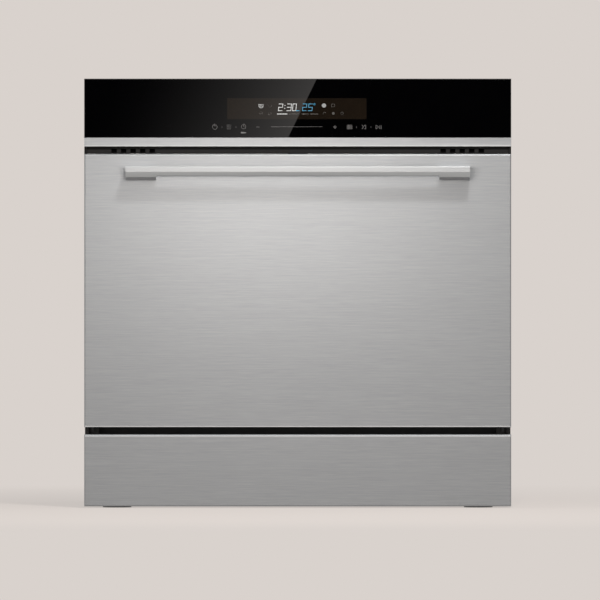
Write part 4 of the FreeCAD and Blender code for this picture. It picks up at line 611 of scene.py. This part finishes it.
WALL_THICK, FLOOR_RIB, WALL_RIB = 0.002, 0.0024, 0.0026
left, right, near, far, low, top = 0.152, 0.244, -0.126, 0.099, 0.1724, 0.2824
mid_x, mid_y = (left + right) / 2, (near + far) / 2
wall_tall, wall_mid = top - low - WALL_THICK, (top + low + WALL_THICK) / 2
basket = [slotted_wall((mid_x, mid_y, low + 0.001), (0, 0, 0), right - left, far - near, 8, 20, FLOOR_RIB)]
for x in (left + 0.001, right - 0.001):
    basket.append(slotted_wall((x, mid_y, wall_mid), (math.pi / 2, 0, math.pi / 2),
                               far - near, wall_tall, 18, 6, WALL_RIB))
for y in (near + 0.001, far - 0.001):
    basket.append(slotted_wall((mid_x, y, wall_mid), (math.pi / 2, 0, 0),
                               right - left - 2 * WALL_THICK, wall_tall, 7, 6, WALL_RIB))
for x in (left + 0.0008, right - 0.0008):
    basket.append(bent_wire([(x, near, top - 0.0014), (x, far, top - 0.0014)], WALL_RIB, 0))
cutlery = fuse("cutlery_basket_lattice", basket, grey_plastic)
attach(cutlery, "lower_basket")

# Handle plate down the middle, with a hand hole, rounded by a bevel
plate = begin(bpy.ops.mesh.primitive_grid_add, x_subdivisions=3, y_subdivisions=3, size=1,
              location=(0, 0, 0))
PLATE_NEAR, PLATE_FAR, PLATE_LOW, PLATE_TOP = near + 0.002, far - 0.002, low + 0.002, top + 0.028
HOLE_NEAR, HOLE_FAR, HOLE_LOW, HOLE_TOP = near + 0.070, far - 0.070, top - 0.004, top + 0.019
places_y = (PLATE_NEAR, HOLE_NEAR, HOLE_FAR, PLATE_FAR)
places_z = (PLATE_LOW, HOLE_LOW, HOLE_TOP, PLATE_TOP)
for corner in plate.data.vertices:
    column, row = round((corner.co.x + 0.5) * 3), round((corner.co.y + 0.5) * 3)
    corner.co = (mid_x, places_y[column], places_z[row])
pick_faces(plate, lambda face: HOLE_NEAR < face.center.y < HOLE_FAR and HOLE_LOW < face.center.z < HOLE_TOP)
with edit_mode():
    bpy.ops.mesh.delete(type="FACE")
clear_picks(plate, "VERT")
for corner in plate.data.vertices:
    y, z = corner.co.y, corner.co.z
    corner.select = HOLE_NEAR - 0.001 < y < HOLE_FAR + 0.001 and HOLE_LOW - 0.001 < z < HOLE_TOP + 0.001 \
        or z > PLATE_TOP - 0.001 and (y < PLATE_NEAR + 0.001 or y > PLATE_FAR - 0.001)
with edit_mode():
    bpy.ops.mesh.bevel(offset=0.007, segments=4, affect="VERTICES")
shell = plate.modifiers.new("plate_thickness", "SOLIDIFY")
shell.thickness, shell.offset = WALL_THICK, 0
bpy.ops.object.modifier_apply(modifier=shell.name)
fuse("cutlery_basket_handle", [plate], grey_plastic)
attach(plate, "lower_basket")
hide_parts("cutlery_basket")


# Upper rack, cup shelves and slides
# A shallower basket of the same coated wire between two telescopic steel slides.
# A wire shelf for cups hangs on each side and folds up on its outer wire.

UPPER_HALF, UPPER_FLOOR, UPPER_TOP = 0.2535, 0.3521, 0.4221
upper_parts = wire_basket(UPPER_HALF, -0.161, -0.167, UPPER_FLOOR, UPPER_TOP)
upper_wires = fuse("upper_rack_wires", upper_parts, coated_wire)
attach(upper_wires, "upper_basket")


def slide_member(inner_x, thick, low, high, near, far, name, body):
    """A rolled channel on each side: a strip with a groove drawn along its face."""
    pair = []
    for hand in (-1, 1):
        member = block((hand * (inner_x + thick / 2), (near + far) / 2, (low + high) / 2),
                       (thick, far - near, high - low))
        pick_faces(member, lambda face: face.normal.x * hand < -0.9)
        press_in(((high - low) * 0.22, 0), (0.0006, -thick * 0.45))
        soften(0.0005)
        pair.append(member)
    member = fuse(name, pair, zinc_steel)
    bpy.ops.object.shade_smooth_by_angle(angle=math.radians(40))
    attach(member, body)


slide_member(0.2535, 0.006, 0.3561, 0.3761, -0.151, RACK_BACK, "upper_rack_runners", "upper_basket")
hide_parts("upper_rack")

SHELF_WIRE, SHELF_RIB = 0.0036, 0.0028
for side, hand in (("left", -1), ("right", 1)):
    pivot, near_y, far_y, level = hand * 0.2472, -0.0925, 0.1575, 0.3921
    inner, middle, front, back = pivot - hand * 0.070, near_y + 0.06, near_y + 0.0015, far_y - 0.0015
    loop = [bent_wire([(pivot, middle, level), (pivot, front, level), (inner, front, level),
                       (inner, back, level), (pivot, back, level), (pivot, middle, level)],
                      SHELF_WIRE, 0.010, True)]
    rib = bent_wire([(pivot, near_y + 0.036, level), (inner, near_y + 0.036, level)], SHELF_RIB, 0)
    loop += [rib] + [moved_copy(rib, (0, 0.0357 * i, 0)) for i in range(1, 6)]
    spine = inner + hand * 0.035
    loop.append(bent_wire([(spine, front, level), (spine, back, level)], SHELF_RIB, 0))
    shelf = fuse(side + "_cup_shelf_wires", loop, coated_wire)
    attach(shelf, side + "_shelf")
    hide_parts(side + "_cup_shelf")


# Lower plinth, door skin and fascia rail
# Stainless sheet brushed from side to side and folded at the edges.
# The grain gives short fine streaks and makes each reflection soft.

brushed_steel, tree, where = start_finish("brushed_stainless_sheet")
# A streak is about 80 mm long and 1.2 mm high: the real 0.1 mm lines are too fine to show
stretch = add_node(tree, "ShaderNodeMapping", {"Vector": where, "Scale": (12.0, 12.0, 830.0)})
streak = add_node(tree, "ShaderNodeTexNoise", {"Vector": stretch.outputs[0], "Scale": 1.0, "Detail": 4.0,
                                               "Roughness": 0.7})
fine_way = add_node(tree, "ShaderNodeMapping", {"Vector": where, "Scale": (35.0, 35.0, 2400.0)})
fine = add_node(tree, "ShaderNodeTexNoise", {"Vector": fine_way.outputs[0], "Scale": 1.0, "Detail": 2.0})
both = add_node(tree, "ShaderNodeMath", {0: streak.outputs["Fac"], 1: fine.outputs["Fac"]}, operation="ADD")
level = add_node(tree, "ShaderNodeMapRange", {"Value": both.outputs[0], 1: 0.7, 2: 1.3})
tone = add_node(tree, "ShaderNodeMix", {0: level.outputs[0], 6: linear("8F9397"), 7: linear("9DA1A4")},
                data_type="RGBA")
sheen = add_node(tree, "ShaderNodeMapRange", {"Value": level.outputs[0], 3: 0.37, 4: 0.41})
# The brushing belt runs off the folds at the heads of the plinth and the door, which stay matt; the door's
# head fold is also painted darker, painted shade that dims its highlight
height = add_node(tree, "ShaderNodeSeparateXYZ", {0: where})
plinth_head, door_head_matt_and_shade = [
    add_node(tree, "ShaderNodeMath", {0: height.outputs["Z"], 1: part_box(name)[1].z, 2: band},
             operation="COMPARE") for name, band in (("plinth_panel", 0.0021), ("door_panel", 0.0014))]
dull = add_node(tree, "ShaderNodeMath", {0: plinth_head.outputs[0], 1: door_head_matt_and_shade.outputs[0]},
                operation="MAXIMUM")
# Painted shade: the door's head fold takes a darker tone
tone = add_node(tree, "ShaderNodeMix", {0: door_head_matt_and_shade.outputs[0], 6: tone.outputs[2], 7: linear("74777A")},
                data_type="RGBA")
rough = add_node(tree, "ShaderNodeMath", {0: dull.outputs[0], 1: 0.3, 2: sheen.outputs[0]},
                 operation="MULTIPLY_ADD")
bump = add_node(tree, "ShaderNodeBump", {"Height": both.outputs[0], "Strength": 0.035, "Distance": 0.0002})
end_finish(tree, "ShaderNodeBsdfPrincipled",
           {"Base Color": tone.outputs[2], "Roughness": rough.outputs[0], "Normal": bump.outputs[0],
            "Metallic": 1.0})
dress(brushed_steel, "plinth_panel", "control_rail", "door_panel")

# Painted highlights: strips of lighter steel lie along the folds at the feet of the rail and the door and
# near the plinth's head
fold_highlight_steel = clouded_finish("stainless_fold_painted_highlight", "A6A9AB", "B0B2B4", (90.0, 2.0), (0.52, 0.58),
                            {"Metallic": 1.0})


def painted_highlight_fold(name, body, foot, tall):
    """A fine painted highlight along a fold: a lighter strip on the front face between two heights."""
    fold = block((0, FRONT_FACE, foot + tall / 2), (2 * FRONT_HALF, 0.0004, tall))
    soften(0.00015)
    fuse(name, [fold], fold_highlight_steel)
    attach(fold, body)


FRONT_FACE, FRONT_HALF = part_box("control_rail")[0].y, 0.2965
painted_highlight_fold("rail_lower_fold_highlight", "root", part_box("control_rail")[0].z + 0.0006, 0.0014)
painted_highlight_fold("door_lower_fold_highlight", "door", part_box("door_panel")[0].z + 0.0006, 0.0013)
painted_highlight_fold("plinth_upper_fold_highlight", "root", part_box("plinth_panel")[1].z - 0.0034, 0.0013)


# Door handle
# Bar and end posts of drawn aluminium, ground along their length and clear anodised.
# Brighter than the sheet behind it, with a finer grain from side to side; its lower bevel is painted
# lighter, a painted highlight.

bright_bar, tree, where = start_finish("ground_anodised_aluminium")
stretch = add_node(tree, "ShaderNodeMapping", {"Vector": where, "Scale": (18.0, 900.0, 900.0)})
streak = add_node(tree, "ShaderNodeTexNoise", {"Vector": stretch.outputs[0], "Scale": 1.0, "Detail": 3.0})
tone = add_node(tree, "ShaderNodeMix", {0: streak.outputs["Fac"], 6: linear("A1A5A8"), 7: linear("A6AAAD")},
                data_type="RGBA")
# Painted highlight: below this height the handle, its lower bevel included, takes a lighter tone
BEVEL_HIGHLIGHT_TOP = 0.4676
height = add_node(tree, "ShaderNodeSeparateXYZ", {0: where})
bevel = add_node(tree, "ShaderNodeMath", {0: height.outputs["Z"], 1: BEVEL_HIGHLIGHT_TOP}, operation="LESS_THAN")
tone = add_node(tree, "ShaderNodeMix", {0: bevel.outputs[0], 6: tone.outputs[2], 7: linear("C8CDD0")},
                data_type="RGBA")
rough = add_node(tree, "ShaderNodeMapRange", {"Value": streak.outputs["Fac"], 3: 0.42, 4: 0.46})
bump = add_node(tree, "ShaderNodeBump",
                {"Height": streak.outputs["Fac"], "Strength": 0.05, "Distance": 0.0001})
end_finish(tree, "ShaderNodeBsdfPrincipled",
           {"Base Color": tone.outputs[2], "Roughness": rough.outputs[0], "Normal": bump.outputs[0],
            "Metallic": 1.0})
dress(bright_bar, "door_handle")

# Each post stands on a soft grey seat, which is a guess: it is painted shade for the dark line of shade
# along the post's foot
SEAT_FOOT, SEAT_HEAD, SEAT_FRONT, SEAT_BACK = 0.4571, 0.4600, -0.2564, -0.2290
SEAT_NEAR, SEAT_FAR = 0.1971, 0.2392
seats = []
for hand in (-1, 1):
    seats.append(block((hand * (SEAT_NEAR + SEAT_FAR) / 2, (SEAT_FRONT + SEAT_BACK) / 2,
                        (SEAT_FOOT + SEAT_HEAD) / 2),
                       (SEAT_FAR - SEAT_NEAR, SEAT_BACK - SEAT_FRONT, SEAT_HEAD - SEAT_FOOT)))
    soften(0.0004)
post_shade_seats = fuse("handle_post_shade_seats", seats, grey_plastic)
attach(post_shade_seats, "door")


# Black gap strip, ventilation grille and control carrier
# Black ABS mouldings behind and between the front panels.
# Satin from the mould, so they show as deep black with a soft sheen.

black_abs = clouded_finish("moulded_abs_black", "0A0A0B", "0F0F10", (12.0, 2.0), (0.5, 0.6),
                           {"IOR": 1.53, "Specular IOR Level": 0.16}, (1100.0, 2.0), (0.15, 0.0001),
                           grain_sets_gloss=True)
dress(black_abs, "vent_grille", "panel_carrier", "door_lock")
dress(tray_plastic, "gap_strip")

# Recesses: painted shade, a near-black tone with almost no sheen standing in for the shade in them
shade_black = clouded_finish("painted_shade_recess_black", "020202", "050505", (60.0, 2.0), 0.9,
                             {"Specular IOR Level": 0.02})


def sunk_block(middle, size, sink):
    """A block whose front face is sunk inside a narrow lip."""
    recess = block(middle, size)
    pick_faces(recess, lambda face: face.normal.y < -0.9)
    press_in((0.0004, 0), (0.0002, -sink))
    return recess


# Above the grille's bars a groove runs the whole width under the rail; its near-black lining is painted
# shade
RAIL_FOOT, DOOR_HEAD, GROOVE_TALL, END_WIDE, END_HALF = 0.5035, 0.4934, 0.0034, 0.004, 0.2974
GROOVE_DEEP, GROOVE_SINK = 0.004, 0.002
groove_y = FRONT_FACE + 0.005
recesses = [sunk_block((0, groove_y, RAIL_FOOT - GROOVE_TALL / 2),
                       (2 * END_HALF - 2 * END_WIDE, GROOVE_DEEP, GROOVE_TALL), GROOVE_SINK)]
for hand in (-1, 1):
    recesses.append(sunk_block((hand * (END_HALF - END_WIDE / 2), groove_y, (RAIL_FOOT + DOOR_HEAD) / 2),
                               (END_WIDE, GROOVE_DEEP, RAIL_FOOT - DOOR_HEAD), GROOVE_SINK))
groove = fuse("grille_top_groove", recesses, shade_black)

# A sleeve lines each of the grille's slots, five at each end, and its lip frames the slot; the near-black
# sleeves are painted shade for the shade inside the slots
SLOT_OUTER, SLOT_WIDE, SLOT_TALL, SLOT_PITCH, SLOT_LEVEL = 0.2597, 0.0076, 0.0056, 0.0133, 0.4972
SLEEVE_DEEP, SLEEVE_SINK = 0.002, 0.0015
sleeve_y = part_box("vent_grille")[0].y + 0.0007
linings = []
for hand in (-1, 1):
    for place in range(5):
        middle = (hand * (SLOT_OUTER - SLOT_WIDE / 2 - place * SLOT_PITCH), sleeve_y, SLOT_LEVEL)
        linings.append(sunk_block(middle, (SLOT_WIDE, SLEEVE_DEEP, SLOT_TALL), SLEEVE_SINK))
sleeves = fuse("grille_slot_sleeves", linings, shade_black)
for piece in (groove, sleeves):
    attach(piece, "root")


# Control glass
# Toughened float glass, 4 mm, enamelled black on its back and ground at the edge.
# Seen from the front it is deep black with a clear mirror reflection.

black_glass, tree, where = start_finish("black_enamelled_glass")
ripple = add_node(tree, "ShaderNodeTexNoise", {"Vector": where, "Scale": 5.0, "Detail": 1.0})
smear = add_node(tree, "ShaderNodeTexNoise", {"Vector": where, "Scale": 22.0, "Detail": 4.0})
tone = add_node(tree, "ShaderNodeMix", {0: smear.outputs["Fac"], 6: linear("010101"), 7: linear("020203")},
                data_type="RGBA")
# Only the front is polished: the cut edges are ground matt
way = add_node(tree, "ShaderNodeNewGeometry")
turned = add_node(tree, "ShaderNodeSeparateXYZ", {0: way.outputs["Normal"]})
ground = add_node(tree, "ShaderNodeMath", {0: turned.outputs["Y"], 1: -0.985}, operation="GREATER_THAN")
rough = add_node(tree, "ShaderNodeMapRange", {"Value": ground.outputs[0], 3: 0.006, 4: 0.55})
bump = add_node(tree, "ShaderNodeBump",
                {"Height": ripple.outputs["Fac"], "Strength": 0.01, "Distance": 0.0004})
end_finish(tree, "ShaderNodeBsdfPrincipled",
           {"Base Color": tone.outputs[2], "Roughness": rough.outputs[0], "Normal": bump.outputs[0],
            "IOR": 1.45})
dress(black_glass, "control_glass")


# Display window
# Dark brown tinted film behind the glass, with the lit segments under it.
# The film passes a little light, so it is warmer and less deep than the enamel.

display_film = clouded_finish("tinted_display_film", "110D09", "17120D", (40.0, 2.0), (0.005, 0.01),
                              {"IOR": 1.45})
dress(display_film, "display_module")

glass_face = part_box("control_glass")[0].y
WINDOW_LEFT, WINDOW_RIGHT, WINDOW_FOOT, WINDOW_TOP = -0.0982, 0.0958, 0.5416, 0.5707
window = block(((WINDOW_LEFT + WINDOW_RIGHT) / 2, glass_face, (WINDOW_FOOT + WINDOW_TOP) / 2),
               (WINDOW_RIGHT - WINDOW_LEFT, 0.0001, WINDOW_TOP - WINDOW_FOOT))
soften(0.00004, 1)
fuse("display_window", [window], display_film)
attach(window, "root")


# Printed icons and lit segments
# Touch marks screen printed in grey enamel on the glass, and LED segments behind the film.
# Each is a thin flat layer; the segments give light, the print does not.

MARK_FACE = glass_face - 0.00008


def stroke(x_start, z_start, x_end, z_end, wide):
    """A thin flat bar with pointed ends on the glass, between two places in millimetres."""
    run = math.hypot(x_end - x_start, z_end - z_start)
    bar = begin(bpy.ops.mesh.primitive_cylinder_add, vertices=6, radius=0.5, depth=1, location=(0, 0, 0),
                rotation=(math.pi / 2, 0, 0))
    bpy.ops.object.transform_apply(location=False, rotation=True, scale=True)
    with edit_mode():
        bpy.ops.mesh.select_all(action="DESELECT")
    for corner in bar.data.vertices:
        corner.select = corner.co.x > 0.01
    with edit_mode():
        bpy.ops.transform.translate(value=(run / wide, 0, 0))
    bar.scale = (wide / 1000, 0.00004, wide / 1000)
    bar.rotation_euler = (0, -math.atan2(z_end - z_start, x_end - x_start), 0)
    bar.location = (x_start / 1000, MARK_FACE, z_start / 1000)
    bpy.ops.object.transform_apply(location=True, rotation=True, scale=True)
    return bar


def ring_mark(x, z, radius, wide, first=0, last=360):
    """An arc of short strokes round a centre, angles in degrees from the right."""
    count = max(5, round((last - first) / 30))
    corners = [(x + radius * math.cos(math.radians(first + (last - first) * i / count)),
                z + radius * math.sin(math.radians(first + (last - first) * i / count)))
               for i in range(count + 1)]
    return [stroke(*a, *b, wide) for a, b in zip(corners, corners[1:])]


def bars(level, rows):
    """Strokes from rows of start, end and width, their heights counted from a level."""
    return [stroke(x_start, level + z_start, x_end, level + z_end, wide)
            for x_start, z_start, x_end, z_end, wide in rows]


# Screen-printed enamel, mid grey
print_grey = clouded_finish("screen_printed_enamel_grey", "464647", "505051", (3000.0, 1.0), 0.4, {})

ROW = 530.7
marks = ring_mark(-115.5, ROW, 3.4, 0.9, 115, 425) + bars(ROW, [(-115.5, 1.2, -115.5, 4.2, 0.9)])
marks += bars(ROW, [(-98.4, lift, -93.0, lift, 0.7) for lift in (-2.6, 0, 2.6)])
marks += ring_mark(-75.5, ROW + 0.5, 3.2, 0.9)
marks += bars(ROW, [(-75.5, 0.5, -75.5, 2.6, 0.6), (-75.5, 0.5, -73.9, -0.4, 0.6),
                    (-57.2, 0, -53.4, 0, 0.8), (-37.2, 0.3, 33.9, 0.3, 0.55),
                    (50.0, 0, 54.0, 0, 1.1), (52.0, -2.0, 52.0, 2.0, 1.1)])
marks += bars(ROW, [(69.9, lift, 74.6, lift, 0.9) for lift in (-2.4, -0.8, 0.8, 2.4)])
marks += bars(ROW, [(68.9, -2.8, 68.9, 2.8, 0.6), (75.5, -2.8, 75.5, 2.8, 0.6),
                    (89.8, -2.6, 93.4, 2.6, 0.8), (89.8, 2.4, 91.2, 0.6, 0.7),
                    (94.8, 2.6, 94.8, -2.6, 0.8), (93.2, -2.4, 94.8, -2.4, 0.7),
                    (109.0, -2.4, 109.0, 2.4, 0.7), (109.0, 2.4, 113.0, 0, 0.7),
                    (109.0, -2.4, 113.0, 0, 0.7), (114.4, -2.4, 114.4, 2.4, 0.8),
                    (116.4, -2.4, 116.4, 2.4, 0.8)])
marks += bars(ROW, [(x, -0.8, x, 0.8, 0.5) for x in (-105.5, -86.0, 81.9, 102.1)])
touch_marks = fuse("touch_marks", marks, print_grey)
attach(touch_marks, "root")


def lit_piece(name, segments, code):
    """A group of lit segments in one colour, faintly uneven as through a diffuser."""
    finish, tree, where = start_finish("led_" + name)
    spread = add_node(tree, "ShaderNodeTexNoise", {"Vector": where, "Scale": 900.0, "Detail": 1.0})
    glow = add_node(tree, "ShaderNodeMapRange", {"Value": spread.outputs["Fac"], 3: 0.85, 4: 1.0})
    end_finish(tree, "ShaderNodeBsdfPrincipled",
               {"Base Color": linear("0A0A0A"), "Roughness": 0.3, "Emission Color": linear(code),
                "Emission Strength": glow.outputs[0]})
    piece = fuse(name, segments, finish)
    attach(piece, "root")


DIGIT_FOOT, DIGIT_TALL = 553.4, 9.4


def digit(x, wide, segments):
    """A leaning seven-segment digit; segments are letters a to g from the top clockwise, g the middle."""
    lean = DIGIT_TALL * 0.1
    places = {"a": (0, 2, 1, 2), "b": (1, 2, 1, 1), "c": (1, 1, 1, 0), "d": (0, 0, 1, 0),
              "e": (0, 1, 0, 0), "f": (0, 2, 0, 1), "g": (0, 1, 1, 1)}
    return [stroke(x + x_a * wide + z_a * lean / 2, DIGIT_FOOT + z_a * DIGIT_TALL / 2,
                   x + x_b * wide + z_b * lean / 2, DIGIT_FOOT + z_b * DIGIT_TALL / 2, 1.0)
            for x_a, z_a, x_b, z_b in (places[key] for key in segments)]


hours = digit(-27.0, 5.4, "abged") + digit(-15.0, 5.4, "abgcd") + digit(-7.4, 4.8, "abcdef")
hours += bars(DIGIT_FOOT, [(-18.2, 3.2, -18.0, 3.2, 1.2), (-17.8, 7.2, -17.6, 7.2, 1.2)])
hours += bars(0, [(start, 548.8, start + 2.6, 548.8, 1.3) for start in (-28.2, -24.6, -21.0, -17.4)])
lit_piece("time_digits", hours, "E8E8E6")
warm = digit(6.6, 5.2, "abged") + digit(14.6, 5.2, "afgcd") + ring_mark(23.2, 562.4, 1.1, 0.6)
warm += bars(0, [(-2.2, 553.4, 2.0, 553.4, 1.3)])
lit_piece("heat_digits", warm, "3D9AC0")
bright = ring_mark(-51.1, 560.3, 3.0, 1.3, 180, 360)
bright += bars(0, [(-54.4, 561.9, -47.8, 561.9, 1.2), (-52.4, 559.9, -49.8, 559.9, 1.6)])
bright += ring_mark(36.6, 560.6, 1.9, 2.2) + bars(0, [(34.0, 560.6, 39.2, 560.6, 1.3)])
lit_piece("lit_icons", bright, "A9A9A7")
lit_piece("half_lit_icons", ring_mark(49.6, 549.6, 1.0, 1.7), "5F5D5A")
dim = ring_mark(-38.6, 560.6, 2.4, 0.7, 180, 360) + ring_mark(-51.1, 549.6, 2.4, 0.7, 0, 180)
dim += ring_mark(-39.0, 549.0, 2.4, 0.7, 0, 180)
dim += bars(0, [(-41.2, 548.4, -36.6, 548.4, 0.7), (-53.4, 549.2, -48.8, 549.2, 0.7),
                (47.0, 558.8, 51.2, 558.8, 0.7), (47.0, 562.6, 51.2, 562.6, 0.7),
                (47.0, 558.8, 47.0, 562.6, 0.7), (51.2, 558.8, 51.2, 562.6, 0.7)])
dim += ring_mark(37.3, 549.4, 2.0, 0.7, 30, 210) + ring_mark(61.7, 549.6, 1.8, 0.7)
dim += bars(0, [(start, 548.8, end, 548.8, 1.3)
                for start, end in ((-11.8, 1.4), (6.2, 15.2), (18.0, 28.0))])
lit_piece("dim_icons", dim, "2E2B27")
lit_piece("delay_light", bars(0, [(-78.2, 522.7, -72.8, 522.7, 2.3)]), "6A6A69")


# Studio
# Plain pale floor and room, a soft key light from the upper right front, a low front light and two fills.
# The room and floor show the same pale tone to the camera and in reflections.

def seen_rays(tree):
    """One for rays of the camera, of a reflection or through glass, otherwise nought."""
    path = add_node(tree, "ShaderNodeLightPath")
    seen = add_node(tree, "ShaderNodeMath",
                    {0: path.outputs["Is Camera Ray"], 1: path.outputs["Is Glossy Ray"]},
                    operation="MAXIMUM")
    return add_node(tree, "ShaderNodeMath", {0: seen.outputs[0], 1: path.outputs["Is Transmission Ray"]},
                    operation="MAXIMUM")


PALE = linear("D9D2CD")
world = bpy.data.worlds.new("studio_room")
bpy.context.scene.world = world
world.use_nodes = True
tree = world.node_tree
tree.nodes.clear()
seen_all = seen_rays(tree)
soft = add_node(tree, "ShaderNodeBackground", {0: linear("FFFFFF"), 1: 0.4})
shown = add_node(tree, "ShaderNodeBackground", {0: PALE, 1: 1.0})
mixed = add_node(tree, "ShaderNodeMixShader",
                 {0: seen_all.outputs[0], 1: soft.outputs[0], 2: shown.outputs[0]})
add_node(tree, "ShaderNodeOutputWorld", {"Surface": mixed.outputs[0]})

floor = begin(bpy.ops.mesh.primitive_circle_add, vertices=96, radius=30, fill_type="NGON",
              location=(0, 0, -0.0002))
floor.name = "studio_floor"
settle(floor)
paper, tree, where = start_finish("matt_studio_paper")
seen_all = seen_rays(tree)
# Near the object the paper takes a share of its shadow, and further out it is one plain tone
away = add_node(tree, "ShaderNodeVectorMath", {0: where}, operation="LENGTH")
plain = add_node(tree, "ShaderNodeMapRange",
                 {"Value": away.outputs["Value"], 1: 0.5, 2: 1.6, 3: 0.76, 4: 1.0})
share = add_node(tree, "ShaderNodeMath", {0: plain.outputs[0], 1: seen_all.outputs[0]},
                 operation="MULTIPLY")
matt = add_node(tree, "ShaderNodeBsdfDiffuse", {"Color": linear("C4BDB9")})
flat = add_node(tree, "ShaderNodeEmission", {"Color": PALE, "Strength": 1.0})
end_finish(tree, "ShaderNodeMixShader", {0: share.outputs[0], 1: matt.outputs[0], 2: flat.outputs[0]})
floor.data.materials.append(paper)

# A black card with a slanted bright edge stands before the glass and shows only in reflections
CARD_AWAY, CARD_LEVEL, CARD_WIDE, CARD_TALL = 1.0, 0.578, 0.76, 0.13
card = begin(bpy.ops.mesh.primitive_plane_add, size=1, location=(0, glass_face - CARD_AWAY, CARD_LEVEL),
             rotation=(math.pi / 2, 0, 0))
card.name = "glare_card"
card.scale = (CARD_WIDE, CARD_TALL, 1)
settle(card)
card_paint, tree, where = start_finish("card_black_with_glare")
split = add_node(tree, "ShaderNodeSeparateXYZ", {0: where})
# The glare's edge leans: it crosses the glass from the upper right to the lower left
GLARE_LEVEL, GLARE_SLOPE, GLARE_START, GLARE_EDGE = 0.56, -0.4875, -0.33, -0.001
lean = add_node(tree, "ShaderNodeMath", {0: split.outputs["Z"], 1: -GLARE_LEVEL}, operation="ADD")
lean_x = add_node(tree, "ShaderNodeMath", {0: lean.outputs[0], 1: GLARE_SLOPE}, operation="MULTIPLY")
across = add_node(tree, "ShaderNodeMath", {0: split.outputs["X"], 1: lean_x.outputs[0]}, operation="ADD")
ramp = add_node(tree, "ShaderNodeMapRange",
                {"Value": across.outputs[0], 1: GLARE_START, 2: GLARE_EDGE, 3: 0.0, 4: 1.09})
glare = add_node(tree, "ShaderNodeMath", {0: ramp.outputs[0], 1: 2.6}, operation="POWER")
inside = add_node(tree, "ShaderNodeMath", {0: across.outputs[0], 1: GLARE_EDGE}, operation="LESS_THAN")
power = add_node(tree, "ShaderNodeMath", {0: glare.outputs[0], 1: inside.outputs[0]}, operation="MULTIPLY")
end_finish(tree, "ShaderNodeEmission", {"Color": linear("FFFAF6"), "Strength": power.outputs[0]})
card.data.materials.append(card_paint)
for kind in ("camera", "diffuse", "shadow", "transmission", "volume_scatter"):
    setattr(card, "visible_" + kind, False)


def soft_light(name, place, aim, width, height, watts, colour):
    """An area light at a place that looks at an aim."""
    lamp = bpy.data.lights.new(name, "AREA")
    lamp.shape = "RECTANGLE"
    lamp.size, lamp.size_y, lamp.energy = width, height, watts
    lamp.color = linear(colour)[:3]
    lit = bpy.data.objects.new(name, lamp)
    bpy.context.scene.collection.objects.link(lit)
    lit.location = place
    lit.rotation_euler = (Vector(aim) - Vector(place)).to_track_quat("-Z", "Y").to_euler()


soft_light("key_light", (0.33, -1.85, 2.0), (0, -0.23, 0.42), 0.3, 0.22, 64, "FFFAF5")
soft_light("front_light", (-0.05, -1.45, 0.51), (0, -0.23, 0.48), 0.36, 0.08, 2.0, "FFF6EF")
soft_light("side_fill", (-2.4, -1.2, 1.5), (0, 0, 0.3), 1.6, 1.6, 14, "FAFCFF")
soft_light("back_fill", (1.6, 2.4, 1.8), (0, 0, 0.3), 1.8, 1.8, 26, "FFFFFF")

# Camera: square on to the front, far away, as high as the middle of the picture
CAMERA_AWAY, CAMERA_ASIDE, CAMERA_LEVEL, PICTURE_WIDE, SENSOR = 14.0, 0.0032, 0.2896, 0.836, 36
camera = begin(bpy.ops.object.camera_add, location=(CAMERA_ASIDE, glass_face - CAMERA_AWAY, CAMERA_LEVEL),
               rotation=(math.pi / 2, 0, 0))
camera.name = "front_camera"
camera.data.sensor_width = SENSOR
camera.data.lens = SENSOR * CAMERA_AWAY / PICTURE_WIDE
camera.data.clip_end = 60
bpy.context.scene.camera = camera
bpy.context.scene.view_settings.view_transform = "Standard"
